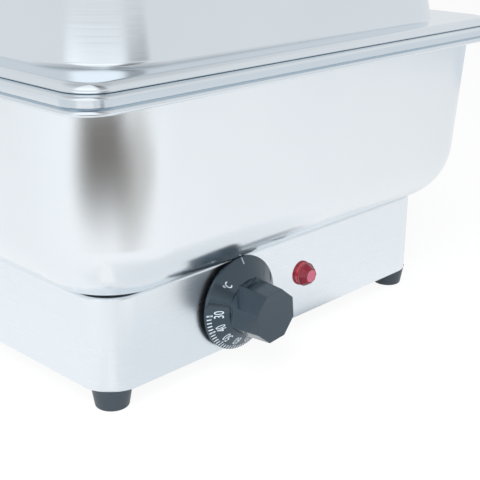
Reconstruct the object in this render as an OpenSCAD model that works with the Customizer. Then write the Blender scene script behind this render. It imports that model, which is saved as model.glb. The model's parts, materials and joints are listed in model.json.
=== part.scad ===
// Electric chafing dish: a deep-drawn water pan on a heated base box, with a food pan and a hinged lid.
// The origin lies on the counter under the middle of the base box.
// X runs to the right, Y away from the control panel, Z up. Sizes are millimetres and degrees.

/* [Base box] */
// Width of the base box's top outside the water pan's flat bottom
base_border = 10.25; // [7:0.25:14]
// Height of the base box above its feet
base_h = 54; // [52:1:70]
// Radius of the upright corners
base_corner_r = 21; // [18:1:26]
// Outer bend radius along the top edge
base_edge_r = 1.5; // [1.5:0.5:4]
// Sheet thickness of the base box
base_sheet = 1; // [0.8:0.1:1.4]
// Width of the top border that carries the water pan
pan_seat = 16; // [14:1:20]
// Width of the flange that the floor plate is screwed to
floor_flange = 14; // [12:1:18]
// Distance from a corner to the end of that flange
flange_end = 46; // [40:1:60]
// Thickness of the floor plate
floor_t = 1; // [0.8:0.1:1.5]
// Gap between the floor plate and the walls
floor_gap = 0.3; // [0.2:0.1:0.6]
// Length of a vent slot in the floor plate
vent_l = 46; // [30:1:60]
// Width of a vent slot
vent_w = 4; // [3:0.5:6]
// Spacing of the vent slots
vent_pitch = 14; // [10:1:18]
// Number of vent slots in each row
vent_count = 9; // [5:2:13]
// Distance of the two vent rows from the middle
vent_row = 52; // [40:1:60]

/* [Feet] */
// Height of a rubber foot
foot_h = 13; // [9:0.5:16]
// Radius of a foot under the floor plate
foot_top_r = 11.6; // [10:0.2:12]
// Radius of a foot on the counter
foot_bottom_r = 9.4; // [8:0.2:10.4]
// Distance of a foot's centre from both sides of the base box
foot_inset = 14; // [13:0.5:18]
// Radius of the screw pocket in a foot
foot_pocket_r = 4.8; // [4.4:0.1:5.4]
// Rubber left between the screw head and the floor plate
foot_web = 5; // [4:0.5:6]

/* [Food pan] */
// Width over the flange of the gastronorm food pan
gn_w = 325; // [320:1:330]
// Length over the flange of the gastronorm food pan
gn_l = 530; // [525:1:535]
// Depth of the food pan
gn_depth = 65; // [40:1:90]
// Sheet thickness of the food pan
gn_sheet = 0.8; // [0.6:0.1:1.2]
// Corner radius of the food pan's flange
gn_flange_r = 20; // [16:1:24]
// Width of the food pan's flange
gn_flange = 11.5; // [11:0.5:14]
// Corner radius of the food pan's mouth
gn_corner_r = 46; // [42:1:56]
// Lean of the food pan's walls
gn_taper = 4; // [2:0.5:6]
// Outer radius round the food pan's bottom
gn_bottom_r = 22; // [16:1:28]

/* [Water pan] */
// Height of the water pan from the base box to its top edge
pan_h = 114.5; // [110:0.5:130]
// Sheet thickness of the water pan
pan_sheet = 1; // [0.8:0.1:1.2]
// Lean of the water pan's walls
pan_taper = 3.77; // [2.5:0.01:4.5]
// Outer radius round the water pan's bottom
pan_bottom_r = 38; // [32:0.5:40]
// Corner radius at the top of the water pan
pan_corner_r = 58; // [54:1:64]

/* [Rim frame] */
// Sheet thickness of the rim frame
rim_sheet = 0.9; // [0.7:0.1:1.2]
// Height of the rim frame's apron
rim_h = 9; // [8:0.5:14]
// Ledge of the rim frame outside the lid
rim_ledge = 4.4; // [3.5:0.1:8]
// Corner radius of the rim frame
rim_corner_r = 18; // [16:1:24]
// Bend radius along the rim frame's top edge; the water pan's edge stands under the flat inside it
rim_edge_r = 1.5; // [1.3:0.1:2.5]
// Height of the bead along the apron's lower edge
bead_h = 3; // [2:0.25:4]
// How far the bead stands out
bead_out = 0.7; // [0.4:0.1:1]
// Width of the food pan's seat on the rim frame
gn_seat = 6.5; // [4:0.5:8]

/* [Lid] */
// Gap between the lid's skirt and the food pan's flange, seen from above
lid_side = 7.5; // [5:0.5:10]
// Air gap under the lid's edge
lid_gap = 0.5; // [0.3:0.1:1]
// Radius of the lid's rolled skirt
skirt_r = 4.5; // [4:0.25:7]
// Sheet thickness of the lid
lid_sheet = 0.8; // [0.6:0.1:1.2]
// Corner radius of the skirt
lid_corner_r = 18; // [14:1:24]
// Width of the lid's flat shoulder, from the skirt's edge to the dome
lid_shoulder = 18; // [16:0.5:22]
// Corner radius of the dome's foot
dome_corner_r = 47; // [46:1:60]
// Height of the dome above the shoulder
dome_h = 85; // [70:1:95]
// Lean of the dome's walls
dome_draft = 12; // [8:0.5:13]
// Radius round the dome's top
dome_top_r = 30; // [24:1:32]

/* [Lid handle] */
// Distance of the handle from the lid's middle, on the opening side
handle_x = 82; // [60:1:90]
// Distance between the handle's legs
handle_l = 120; // [100:1:160]
// Height of the grip's axis above the lid
handle_rise = 36; // [32:1:50]
// Radius of the grip
handle_r = 8; // [6:0.5:10]
// Bend radius of the handle's axis
handle_bend_r = 16; // [12:1:20]
// Radius of the steel collar under a leg
collar_r = 11; // [10:0.5:14]
// Height of the collar
collar_h = 2.5; // [1.5:0.5:5]
// Depth of the screw hole in a leg
handle_hole = 14; // [10:1:16]

/* [Lid hinges] */
// Distance of the two hinges from the middle
hinge_y = 150; // [120:1:170]
// Radius of the hinge pin
pin_r = 1.75; // [1.5:0.25:2]
// Running clearance round the hinge pin
pin_gap = 0.05; // [0.02:0.01:0.1]
// Radius of the knuckles
knuckle_r = 3.25; // [3.25:0.25:4.5]
// Length of the lid's knuckle
knuckle_mid = 24; // [16:1:32]
// Length of each fixed knuckle
knuckle_end = 17; // [12:1:22]
// Side gap between knuckles
knuckle_gap = 0.5; // [0.3:0.1:1]
// Sheet thickness of the hinge bracket
bracket_t = 2; // [1.5:0.25:2.5]
// Gap between the bracket and the bead
bracket_gap = 0.3; // [0.3:0.1:1]
// Height of the bracket's foot on the water pan's wall
bracket_foot = 26; // [20:1:32]
// Height of the bracket's step past the bead
bracket_step = 6; // [4:1:10]
// Sheet thickness of the lid's hinge strap
strap_t = 1.5; // [1.2:0.1:2]
// Length of the strap's riveted part along the lid
strap_l = 52; // [44:1:60]
// Spacing of a hinge's rivets
rivet_pitch = 36; // [30:1:38]
// Radius of a rivet
rivet_r = 2; // [1.5:0.25:2.5]
// Radius of a rivet's head
rivet_head_r = 3.8; // [3:0.2:4.4]
// Height of a rivet's head
rivet_head_h = 1.6; // [1.2:0.1:2.2]
// Radius of a rivet's formed tail
rivet_tail_r = 3; // [2.6:0.1:3.6]
// Height of a rivet's formed tail
rivet_tail_h = 1.2; // [1:0.1:1.8]

/* [Control knob] */
// Place of the knob, left of the panel's middle
knob_x = -44; // [-52:0.5:-40]
// Distance of the knob's axis below the base box's top
knob_drop = 26.4; // [25.5:0.1:27]
// Radius of the dial
dial_r = 28.2; // [24:0.1:28.6]
// Gap between the dial and the panel
dial_gap = 2.6; // [1.7:0.1:3]
// Thickness of the dial at its edge
dial_t = 1.5; // [1.4:0.1:3]
// Rise of the sloped dial from its edge to the grip's flats
dial_rise = 7.2; // [5:0.1:9]
// Corner radius of the eight-sided grip at the dial
grip_root_r = 18; // [16.5:0.1:19]
// Corner radius of the eight-sided grip at its front
grip_r = 15.9; // [13:0.1:16.4]
// Length of the grip in front of the dial's edge
grip_l = 27.4; // [24:0.1:32]
// Chamfer at the grip's front
grip_chamfer = 0.8; // [0.4:0.1:2]
// Turn of the grip's flats
grip_turn = 5.8; // [0:0.1:10]
// Radius of the thermostat's shaft
shaft_r = 3; // [2.5:0.1:3.5]
// Depth of the flat on the shaft
shaft_flat = 1.2; // [0.8:0.1:1.5]
// Clearance round the shaft
shaft_gap = 0.05; // [0.02:0.01:0.1]
// Length of the shaft inside the knob
shaft_grip = 20; // [14:1:24]
// Length of the shaft inside the thermostat
shaft_seat = 14; // [10:1:18]
// Radius of the hub behind the dial
hub_r = 8; // [6:0.5:10]
// Depth of the hollow behind the dial
dial_hollow = 1.2; // [0.8:0.1:1.6]
// Width of the rim round that hollow
dial_rim = 2; // [1.5:0.1:4]

/* [Thermostat] */
// Width of the thermostat's case
stat_w = 36; // [34:1:42]
// Height of the thermostat's case
stat_h = 36; // [34:1:38]
// Depth of the thermostat's case
stat_d = 26; // [22:1:30]
// Radius of the thermostat's bush
bush_r = 5; // [4.4:0.1:5.6]
// How far the bush stands out of the panel
bush_out = 0.9; // [0.4:0.1:1.2]
// Distance of the case's screws from the shaft
stat_screw = 14; // [12:0.5:15]
// Radius of the capillary tube
capillary_r = 1; // [0.8:0.1:1.4]
// Radius of the sensor bulb
bulb_r = 3; // [2.5:0.1:3.2]
// Length of the sensor bulb
bulb_l = 92; // [60:1:120]

/* [Pilot lamp] */
// Place of the lamp, right of the panel's middle
lamp_x = 13.5; // [8:0.5:20]
// Distance of the lamp's axis below the base box's top
lamp_drop = 25; // [20:0.5:28]
// Radius of the lens's flange
lens_r = 7.7; // [7.7:0.1:9]
// Thickness of the lens's flange
lens_flange = 1.4; // [1:0.1:2.5]
// Corner radius of the faceted lens at its flange
lens_base_r = 7.5; // [6.5:0.1:7.5]
// Length of the lens's straight sides
lens_side = 3.2; // [2:0.1:5]
// Corner radius of the faceted lens at its front
lens_front_r = 4.8; // [4:0.1:6]
// Length of the slope from the sides to the front
lens_slope = 4.2; // [3:0.1:6]
// Radius of the lamp's barrel
barrel_r = 5; // [4.5:0.1:5.4]
// Length of the lens's barrel behind the panel
lens_barrel = 9; // [8:0.5:12]
// Length of the lamp body behind the lens
lamp_body_l = 18; // [14:1:24]
// Outer radius of the lamp's nut
lamp_nut_r = 8; // [7:0.5:10]

/* [Mains inlet] */
// Place of the inlet, right of the middle of the back
inlet_x = 70; // [50:1:90]
// Height of the inlet's middle above the floor plate
inlet_up = 28; // [24:1:32]
// Width of the inlet's flange
inlet_flange_w = 50; // [48:1:54]
// Height of the inlet's flange
inlet_flange_h = 24; // [23:1:28]
// Thickness of the inlet's flange
inlet_flange_t = 3; // [2:0.5:4]
// Width of the inlet's body
inlet_body_w = 28; // [27.5:0.5:30]
// Height of the inlet's body
inlet_body_h = 20; // [19.5:0.5:21]
// Depth of the inlet's body behind the panel
inlet_body_d = 17; // [16:0.5:20]
// Width of the plug's recess
recess_w = 24.4; // [24:0.1:25]
// Height of the plug's recess
recess_h = 16.6; // [16:0.1:17]
// Depth of the plug's recess
recess_d = 16.4; // [15:0.2:18]
// Spacing of the inlet's screws
inlet_screws_x = 40; // [38:0.5:41]
// Spacing of the live and neutral pins
blade_pitch = 14; // [13:0.5:15]
// How far the earth pin lies below the other two
blade_drop = 4; // [3.5:0.5:5]
// Width of a contact blade
blade_w = 2; // [1.6:0.1:2.4]
// Height of a contact blade
blade_h = 4; // [3.6:0.1:4.4]

/* [Heater] */
// Thickness of the aluminium spreader plate
spreader_t = 2; // [1.5:0.25:3]
// Gap between the spreader plate and the base box's opening
spreader_gap = 6; // [4:0.5:10]
// Radius of the tubular element
element_r = 3.25; // [3:0.05:4]
// Spacing of the element's runs
element_pitch = 50; // [40:1:56]
// Distance from the spreader plate's ends to the element's half turns
element_end = 60.5; // [56:0.5:70]
// Length of the element's cold ends in front of the runs
cold_end = 38; // [34:1:42]
// Contact gap between the element and what clamps it
element_gap = 0.05; // [0.02:0.01:0.2]
// Radius of the element's terminal pins
element_pin_r = 1.5; // [1.2:0.1:2]
// Length of the element's terminal pins
element_pin_l = 11; // [8:1:12]
// Spacing of the clamp bars
bar_pitch = 100; // [90:1:115]
// Width of a clamp bar
bar_w = 14; // [12:1:18]
// Length of a clamp bar
bar_l = 178; // [170:1:190]
// Thickness of a clamp bar
bar_t = 2; // [1.5:0.25:2.5]
// Height of the spacers over the heat reflector
spacer_h = 4; // [3:0.5:6]
// Outer radius of the spacers
spacer_r = 3.8; // [3.2:0.1:4.5]
// Width of the heat reflector
reflector_w = 192; // [184:1:204]
// Length of the heat reflector past the element's straight runs
reflector_past = 18; // [12:1:20]
// Sheet thickness of the heat reflector
reflector_t = 0.8; // [0.6:0.1:1.2]
// Height of the heat reflector's lips
reflector_lip = 4; // [2:0.5:5]
// Radius of the thermal cut-out
cutout_r = 8; // [6:0.5:9]
// Height of the thermal cut-out
cutout_h = 9; // [7:0.5:10]
// Length of the thermal cut-out's flange
cutout_flange = 31; // [28:1:34]

/* [Fasteners and leads] */
// Radius of the screws and studs
screw_r = 2; // [1.8:0.1:2.2]
// Clearance round a screw in its hole
screw_gap = 0.15; // [0.1:0.05:0.3]
// Radius of a screw head
head_r = 3.6; // [3.2:0.1:4]
// Height of a screw head
head_h = 1.6; // [1.2:0.1:1.7]
// Height of a hexagon nut
nut_h = 3.2; // [2.4:0.1:3.6]
// Corner radius of a hexagon nut
nut_r = 4.04; // [3.8:0.01:4.4]
// Radius of an insulated lead
lead_r = 1.3; // [1:0.1:1.6]
// Width of a terminal tab
tab_w = 6.3; // [4.8:0.1:6.3]
// Thickness of a terminal tab
tab_t = 0.8; // [0.5:0.1:1]
// Length of a terminal tab
tab_l = 8; // [6:0.5:10]
// Length of the terminal block
block_l = 40; // [34:1:46]
// Width of the terminal block
block_w = 18; // [16:1:22]
// Height of the terminal block
block_h = 18; // [16:1:22]
// Distance of the terminal block from the front panel
block_in = 46; // [44:1:56]
// Distance of the earth stud to the side of the inlet
earth_side = 34; // [30:1:40]
// Distance of the earth stud from the back panel
earth_in = 50; // [46:1:60]
// Length of the earth lug
lug_l = 16; // [14:0.5:20]
// Width of the earth lug
lug_w = 9; // [8.5:0.5:12]
// Thickness of the earth lug
lug_t = 1; // [0.8:0.1:1.5]
// Length of the leads' bends at the inlet and the terminal block
lead_drop = 14; // [12:1:18]

/* [Hidden] */
$fn = 64;
// Half the angle between the corners of an eight-sided shape
OCTAGON_HALF = 22.5;
// How deep a leaning wall sinks into its bends, so that they meet in a clean edge
SEAM = 0.01;
// Flat stretch inside a shell's bend; the shell's flat middle overlaps half of it
FLAT_LAP = 1;

// Step that the sizes of the base box and the element are rounded to
NEAT = 0.5;
hole_r = screw_r + screw_gap;

// Levels of the base box
base_z = foot_h;
base_top = base_z + base_h;
floor_top = base_z + floor_t;

// Lid, rim frame and water pan are sized outward from the food pan
lid_w = gn_w + 2 * lid_side;
lid_l = gn_l + 2 * lid_side;
rim_w = lid_w + 2 * rim_ledge;
rim_l = lid_l + 2 * rim_ledge;
pan_w = rim_w - 2 * rim_edge_r;
pan_l = rim_l - 2 * rim_edge_r;
pan_top = base_top + pan_h;
rim_top = pan_top + rim_sheet;
rim_bottom = rim_top - rim_h;

// The water pan's flat bottom starts where its bottom radius ends
pan_in = bend_inset(pan_h, pan_taper, pan_bottom_r);
flat_w = pan_w - 2 * pan_in;
flat_l = pan_l - 2 * pan_in;
open_w = flat_w - 2 * pan_seat;
open_l = flat_l - 2 * pan_seat;
open_r = base_edge_r + pan_seat / 2;

// The base box is sized outward from the water pan's flat bottom
base_w = NEAT * round(flat_w / NEAT) + 2 * base_border;
base_l = NEAT * round(flat_l / NEAT) + 2 * base_border;
front_y = -base_l / 2;
back_y = base_l / 2;
front_in = front_y + base_sheet;
back_in = back_y - base_sheet;

// Food pan
gn_under = rim_top;
gn_top = gn_under + gn_sheet;
gn_mouth_w = gn_w - 2 * gn_flange;
gn_mouth_l = gn_l - 2 * gn_flange;
rim_open_w = gn_w - 2 * gn_seat;
rim_open_l = gn_l - 2 * gn_seat;
rim_open_r = gn_corner_r + gn_flange - gn_seat;

// Lid
lid_edge = rim_top + lid_gap;
shoulder_z = lid_edge + skirt_r;
dome_w = lid_w - 2 * lid_shoulder;
dome_l = lid_l - 2 * lid_shoulder;
dome_top = shoulder_z + dome_h;

// Hinges: the strap lies on the lid's shoulder and its top is level with the knuckle
bracket_x = rim_w / 2 + bead_out + bracket_gap;
hinge_x = bracket_x + knuckle_r;
hinge_z = shoulder_z + strap_t - knuckle_r;
strap_foot = dome_w / 2 + knuckle_gap;
strap_rivet_x = (strap_foot + lid_w / 2 - skirt_r) / 2;
bracket_wall_z = rim_bottom - bracket_step;
bracket_rivet_z = bracket_wall_z - bracket_foot / 2;

// Controls
knob_z = base_top - knob_drop;
lamp_z = base_top - lamp_drop;
inlet_z = floor_top + inlet_up;
dial_front = dial_gap + dial_t;
stat_back = front_in + stat_d;
bulb_start = -bulb_l / 2;

// Heater, from the water pan's bottom downwards
spreader_w = open_w - 2 * spreader_gap;
spreader_l = open_l - 2 * spreader_gap;
spreader_z = base_top - spreader_t;
element_run = NEAT * round((spreader_l - 2 * element_end) / NEAT);
reflector_l = element_run + 2 * reflector_past;
element_z = spreader_z - element_gap - element_r;
bulb_z = spreader_z - element_gap - bulb_r;
bar_top = element_z - element_r - element_gap;
bar_z = bar_top - bar_t;
reflector_top = bar_z - nut_h - spacer_h;
reflector_z = reflector_top - reflector_t;
stud_end = reflector_z - nut_h - base_sheet;
stud_x = element_pitch;
element_x = 1.5 * element_pitch;
element_front = -element_run / 2 - cold_end;
pin_end = element_front - element_pin_l;
heater_studs_at = [for (sx = [-1, 1], i = [-1:1]) [sx * stud_x, i * bar_pitch]];
pan_studs_at = [for (sx = [-1, 1], i = [-1:1]) [sx * (flat_w - pan_seat) / 2, i * hinge_y]];

// Screws of the floor plate and the feet
flange_mid = (base_sheet + floor_flange) / 2;
floor_screws_at = concat(
    [for (sx = [-1, 1], i = [-1:1]) [sx * (base_w / 2 - flange_mid), i * hinge_y]],
    [for (sx = [-1, 1], sy = [-1, 1]) [sx * (base_w / 4), sy * (base_l / 2 - flange_mid)]]
);
feet_at = [for (sy = [-1, 1], sx = [-1, 1]) [sx * (base_w / 2 - foot_inset), sy * (base_l / 2 - foot_inset)]];

// Wiring
block_at = [inlet_x, front_in + block_in];
block_top = floor_top + block_h;
block_left = block_at[0] - block_l / 2;
blade_back = back_in - inlet_body_d;
blade_end = blade_back - tab_l;
lamp_back = front_y + base_sheet + lens_barrel + lamp_body_l;
earth_at = [inlet_x - earth_side, back_in - earth_in];
stat_tab_z = knob_z - stat_h / 4;
stat_tab_x = stat_w / 4;
capillary_z = knob_z + stat_h / 5;
run_z = floor_top + 3 * lead_r;
tab_back = stat_back + tab_l;

STEEL = "#d5dbe0";
SATIN = "#c3c9ce";
BLACK = "#33383d";
RUBBER = "#2b3034";
RED = "#c2263a";
BRASS = "#c9a553";
ALUMINIUM = "#b9bdc1";
CERAMIC = "#e8e4da";
BROWN = "#7a4a2a";
GREEN = "#5d8a2a";
BLUE = "#3b5f8a";

// Flat shapes

module rounded_rect(w, l, r) {
    square([w - 2 * r, l], center = true);
    square([w, l - 2 * r], center = true);
    for (sx = [-1, 1], sy = [-1, 1])
        translate([sx * (w / 2 - r), sy * (l / 2 - r)])
            circle(r);
}

// Part of a flat ring of outer radius r and thickness t, between two angles at most 90 apart
module arc_band(r, t, from, to) {
    reach = 2 * r;
    middle = (from + to) / 2;
    intersection() {
        difference() {
            circle(r);
            circle(r - t);
        }
        polygon([
            [0, 0],
            reach * [cos(from), sin(from)],
            reach * [cos(middle), sin(middle)],
            reach * [cos(to), sin(to)]
        ]);
    }
}

// How far a bend's centre lies inside the open end of a leaning wall of height h
function bend_inset(h, lean, bend) = (h - bend) * tan(lean) + (bend - SEAM) / cos(lean);

// Filled half section of a drawn shell, standing on z = 0: a flat floor, a bend and a wall that leans out to
// x = 0 at height h. inset moves the floor, bend and wall inwards, and rise lengthens the wall.
module shell_fill(h, lean, bend, inset, rise) {
    centre = [-bend_inset(h, lean, bend), bend];
    left = centre[0] - FLAT_LAP - inset;
    normal = [cos(lean), -sin(lean)];
    high = h + rise;
    polygon([
        [left, inset],
        [centre[0], inset],
        centre,
        centre + (bend - SEAM - inset) * normal,
        [rise * tan(lean) - inset / cos(lean), high],
        [left, high]
    ]);
    intersection() {
        translate(centre)
            circle(bend - inset);
        translate([left, inset])
            square([-left, high]);
    }
}

// Section of the sheet of a drawn shell
module shell_sheet(h, lean, bend, t) {
    difference() {
        shell_fill(h, lean, bend, 0, 0);
        shell_fill(h, lean, bend, t, t);
    }
}

// Solid helpers

module plate(w, l, r, z, t) {
    translate([0, 0, z])
        linear_extrude(t)
            rounded_rect(w, l, r);
}

// A profile carried round a rounded rectangle. The profile's x is measured outward from the outline.
module carried_round(w, l, r) {
    for (i = [0:3]) {
        across = i % 2 == 0 ? w / 2 : l / 2;
        along = i % 2 == 0 ? l / 2 : w / 2;
        rotate([0, 0, 90 * i]) {
            translate([across, along - r, 0])
                rotate([90, 0, 0])
                    linear_extrude(2 * (along - r))
                        children();
            translate([across - r, along - r, 0])
                rotate_extrude(angle = 90)
                    translate([r, 0])
                        children();
        }
    }
}

// Sheet of a drawn shell, standing on z = 0 with its mouth up
module drawn_shell(w, l, r, h, lean, bend, t) {
    middle = bend_inset(h, lean, bend) + FLAT_LAP / 2;
    carried_round(w, l, r)
        shell_sheet(h, lean, bend, t);
    plate(w - 2 * middle, l - 2 * middle, r - middle, 0, t);
}

// Local z points out of the front panel, or out of the back panel
module on_front(x, z) {
    translate([x, front_y, z])
        rotate([90, 0, 0])
            children();
}

module on_back(x, z) {
    translate([x, back_y, z])
        rotate([90, 0, 180])
            children();
}

module box(w, l, z, h) {
    translate([-w / 2, -l / 2, z])
        cube([w, l, h]);
}

module hole(r, z, h) {
    translate([0, 0, z])
        cylinder(r = r, h = h);
}

// Low round head standing on z = 0
module dome_head(r, h) {
    ball = (r * r + h * h) / (2 * h);
    intersection() {
        translate([0, 0, h - ball])
            sphere(ball);
        cylinder(r = r, h = h);
    }
}

// Screw with its head above z = 0 and its shank below
module screw(length, head = head_r) {
    slot_w = head_h / 2;
    difference() {
        dome_head(head, head_h);
        for (a = [0, 90])
            rotate([0, 0, a])
                box(head, slot_w, head_h / 2, head_h);
    }
    hole(screw_r, -length, length);
}

module hex_nut() {
    difference() {
        cylinder(r = nut_r, h = nut_h, $fn = 6);
        hole(hole_r, -nut_h, 3 * nut_h);
    }
}

// Flexible tubes: each corner of the route is rounded, then rings of eight points are joined

LEAD_SIDES = 8;
BEND_STEPS = 4;
// Direction that no lead runs along
LEAD_REF = [0.83, 0.31, 0.47];
// Largest share of a straight stretch that one bend may use
BEND_SHARE = 0.45;

function unit(v) = v / norm(v);

function bend_point(a, b, c, t) = (1 - t) * (1 - t) * a + 2 * t * (1 - t) * b + t * t * c;

function bend_reach(p, q, bend) = min(bend, BEND_SHARE * norm(q - p));

function rounded_route(route, bend) = concat(
    [route[0]],
    [for (i = [1:len(route) - 2], s = [0:BEND_STEPS])
        let (p = route[i])
        let (a = p + bend_reach(p, route[i - 1], bend) * unit(route[i - 1] - p))
        let (c = p + bend_reach(p, route[i + 1], bend) * unit(route[i + 1] - p))
        bend_point(a, p, c, s / BEND_STEPS)],
    [route[len(route) - 1]]
);

function heading(path, i) =
    let (last = len(path) - 1)
    i == 0 ? unit(path[1] - path[0])
    : i == last ? unit(path[last] - path[last - 1])
    : unit(unit(path[i + 1] - path[i]) + unit(path[i] - path[i - 1]));

function ring(path, i, r) =
    let (t = heading(path, i))
    let (u = unit(cross(t, LEAD_REF)))
    let (v = cross(t, u))
    [for (k = [0:LEAD_SIDES - 1])
        path[i] + r * (cos(360 * k / LEAD_SIDES) * u + sin(360 * k / LEAD_SIDES) * v)];

module lead(route, r = lead_r, bend = 10) {
    path = rounded_route(route, bend);
    count = len(path);
    points = [for (i = [0:count - 1]) each ring(path, i, r)];
    sides = [for (i = [0:count - 2], k = [0:LEAD_SIDES - 1])
        let (a = i * LEAD_SIDES + k)
        let (b = i * LEAD_SIDES + (k + 1) % LEAD_SIDES)
        each [[a, b + LEAD_SIDES, b], [a, a + LEAD_SIDES, b + LEAD_SIDES]]];
    first = [for (k = [0:LEAD_SIDES - 1]) k];
    last = [for (k = [LEAD_SIDES - 1:-1:0]) (count - 1) * LEAD_SIDES + k];
    polyhedron(points, concat(sides, [first, last]));
}

// Base box

module base_wall_profile() {
    translate([-base_sheet, base_z])
        square([base_sheet, base_h - base_edge_r]);
    translate([-base_edge_r, base_top - base_edge_r])
        arc_band(base_edge_r, base_sheet, 0, 90);
}

module floor_flanges() {
    for (i = [0:3]) {
        across = i % 2 == 0 ? base_w / 2 : base_l / 2;
        along = i % 2 == 0 ? base_l : base_w;
        rotate([0, 0, 90 * i])
            translate([across - floor_flange, flange_end - along / 2, floor_top])
                cube([floor_flange - base_sheet / 2, along - 2 * flange_end, base_sheet]);
    }
}

module base_housing() {
    top_in = 2 * base_edge_r;
    color(STEEL)
        difference() {
            union() {
                carried_round(base_w, base_l, base_corner_r)
                    base_wall_profile();
                difference() {
                    plate(base_w - top_in, base_l - top_in, base_corner_r - base_edge_r,
                        base_top - base_sheet, base_sheet);
                    plate(open_w, open_l, open_r, base_top - 2 * base_sheet, 3 * base_sheet);
                }
                floor_flanges();
            }
            panel_holes();
            for (p = floor_screws_at)
                translate(p)
                    hole(hole_r, base_z, 3 * base_sheet + floor_t);
            for (p = pan_studs_at)
                translate(p)
                    hole(hole_r, base_top - 2 * base_sheet, 3 * base_sheet);
        }
}

module panel_holes() {
    through = 3 * base_sheet;
    on_front(knob_x, knob_z) {
        hole(bush_r + screw_gap, -2 * base_sheet, through);
        for (sx = [-1, 1])
            translate([sx * stat_screw, 0, 0])
                hole(hole_r, -2 * base_sheet, through);
    }
    on_front(lamp_x, lamp_z)
        hole(barrel_r + screw_gap, -2 * base_sheet, through);
    on_back(inlet_x, inlet_z) {
        box(inlet_body_w + 2 * screw_gap, inlet_body_h + 2 * screw_gap, -2 * base_sheet, through);
        for (sx = [-1, 1])
            translate([sx * inlet_screws_x / 2, 0, 0])
                hole(hole_r, -2 * base_sheet, through);
    }
}

module base_floor() {
    inset = 2 * (base_sheet + floor_gap);
    color(SATIN)
        difference() {
            plate(base_w - inset, base_l - inset, base_corner_r - inset / 2, base_z, floor_t);
            for (p = concat(floor_screws_at, feet_at))
                translate(p)
                    hole(hole_r, base_z - floor_t, 3 * floor_t);
            for (sx = [-1, 1], i = [0:vent_count - 1])
                translate([sx * vent_row, (i - (vent_count - 1) / 2) * vent_pitch, 0])
                    box(vent_l, vent_w, base_z - floor_t, 3 * floor_t);
            for (p = block_screws_at())
                translate(p)
                    hole(hole_r, base_z - floor_t, 3 * floor_t);
        }
}

module floor_screws() {
    color(STEEL)
        for (p = floor_screws_at)
            translate([p[0], p[1], base_z])
                rotate([180, 0, 0])
                    screw(floor_t + base_sheet + nut_h);
}

// Feet

module foot(i) {
    color(RUBBER)
        translate(feet_at[i])
            difference() {
                cylinder(r1 = foot_bottom_r, r2 = foot_top_r, h = foot_h);
                hole(foot_pocket_r, -foot_web, foot_h);
                hole(hole_r, -foot_h, 3 * foot_h);
            }
}

module foot_screws() {
    color(STEEL)
        for (p = feet_at)
            translate([p[0], p[1], foot_h - foot_web])
                rotate([180, 0, 0])
                    screw(foot_web + floor_t + nut_h + base_sheet, foot_pocket_r - 2 * screw_gap);
}

module foot_nuts() {
    color(STEEL)
        for (p = feet_at)
            translate([p[0], p[1], floor_top])
                hex_nut();
}

// Water pan, rim frame and food pan

module water_pan() {
    color(STEEL)
        difference() {
            translate([0, 0, base_top])
                drawn_shell(pan_w, pan_l, pan_corner_r, pan_h, pan_taper, pan_bottom_r, pan_sheet);
            for (sy = [-1, 1], i = [-1, 1])
                translate([0, sy * hinge_y + i * rivet_pitch / 2, 0])
                    on_pan_wall()
                        hole(rivet_r + screw_gap / 2, -3 * pan_sheet, 6 * pan_sheet);
        }
}

// Local z points out of the right wall of the water pan, at the height of the bracket's rivets
module on_pan_wall() {
    translate([wall_x(bracket_rivet_z), 0, bracket_rivet_z])
        rotate([0, 90 + pan_taper, 0])
            children();
}

module rim_profile() {
    bead_r = bead_h / 2;
    translate([-rim_sheet, rim_bottom])
        square([rim_sheet, rim_h - rim_edge_r]);
    translate([-rim_edge_r, rim_top - rim_edge_r])
        arc_band(rim_edge_r, rim_sheet, 0, 90);
    intersection() {
        translate([bead_out - bead_r, rim_bottom + bead_r])
            circle(bead_r);
        translate([-rim_sheet / 2, rim_bottom])
            square([rim_sheet / 2 + bead_out, bead_h]);
    }
}

module rim_frame() {
    top_in = 2 * rim_edge_r;
    color(STEEL) {
        carried_round(rim_w, rim_l, rim_corner_r)
            rim_profile();
        difference() {
            plate(rim_w - top_in, rim_l - top_in, rim_corner_r - rim_edge_r, pan_top, rim_sheet);
            plate(rim_open_w, rim_open_l, rim_open_r, pan_top - rim_sheet, 3 * rim_sheet);
        }
    }
}

module food_pan() {
    color(STEEL) {
        translate([0, 0, gn_top - gn_depth])
            drawn_shell(gn_mouth_w, gn_mouth_l, gn_corner_r, gn_depth, gn_taper, gn_bottom_r, gn_sheet);
        difference() {
            plate(gn_w, gn_l, gn_flange_r, gn_under, gn_sheet);
            plate(gn_mouth_w - gn_sheet, gn_mouth_l - gn_sheet, gn_corner_r - gn_sheet / 2,
                gn_under - gn_sheet, 3 * gn_sheet);
        }
    }
}

module pan_studs() {
    color(SATIN)
        for (p = pan_studs_at)
            translate(p)
                hole(screw_r, base_top - 2 * base_sheet - nut_h, 2 * base_sheet + nut_h);
}

module pan_nuts() {
    color(SATIN)
        for (p = pan_studs_at)
            translate([p[0], p[1], base_top - base_sheet - nut_h])
                hex_nut();
}

// Heater

module heat_spreader() {
    color(ALUMINIUM)
        difference() {
            plate(spreader_w, spreader_l, open_r, spreader_z, spreader_t);
            for (p = concat(heater_studs_at, cutout_screws_at()))
                translate(p)
                    hole(hole_r, spreader_z - spreader_t, 3 * spreader_t);
        }
}

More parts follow.
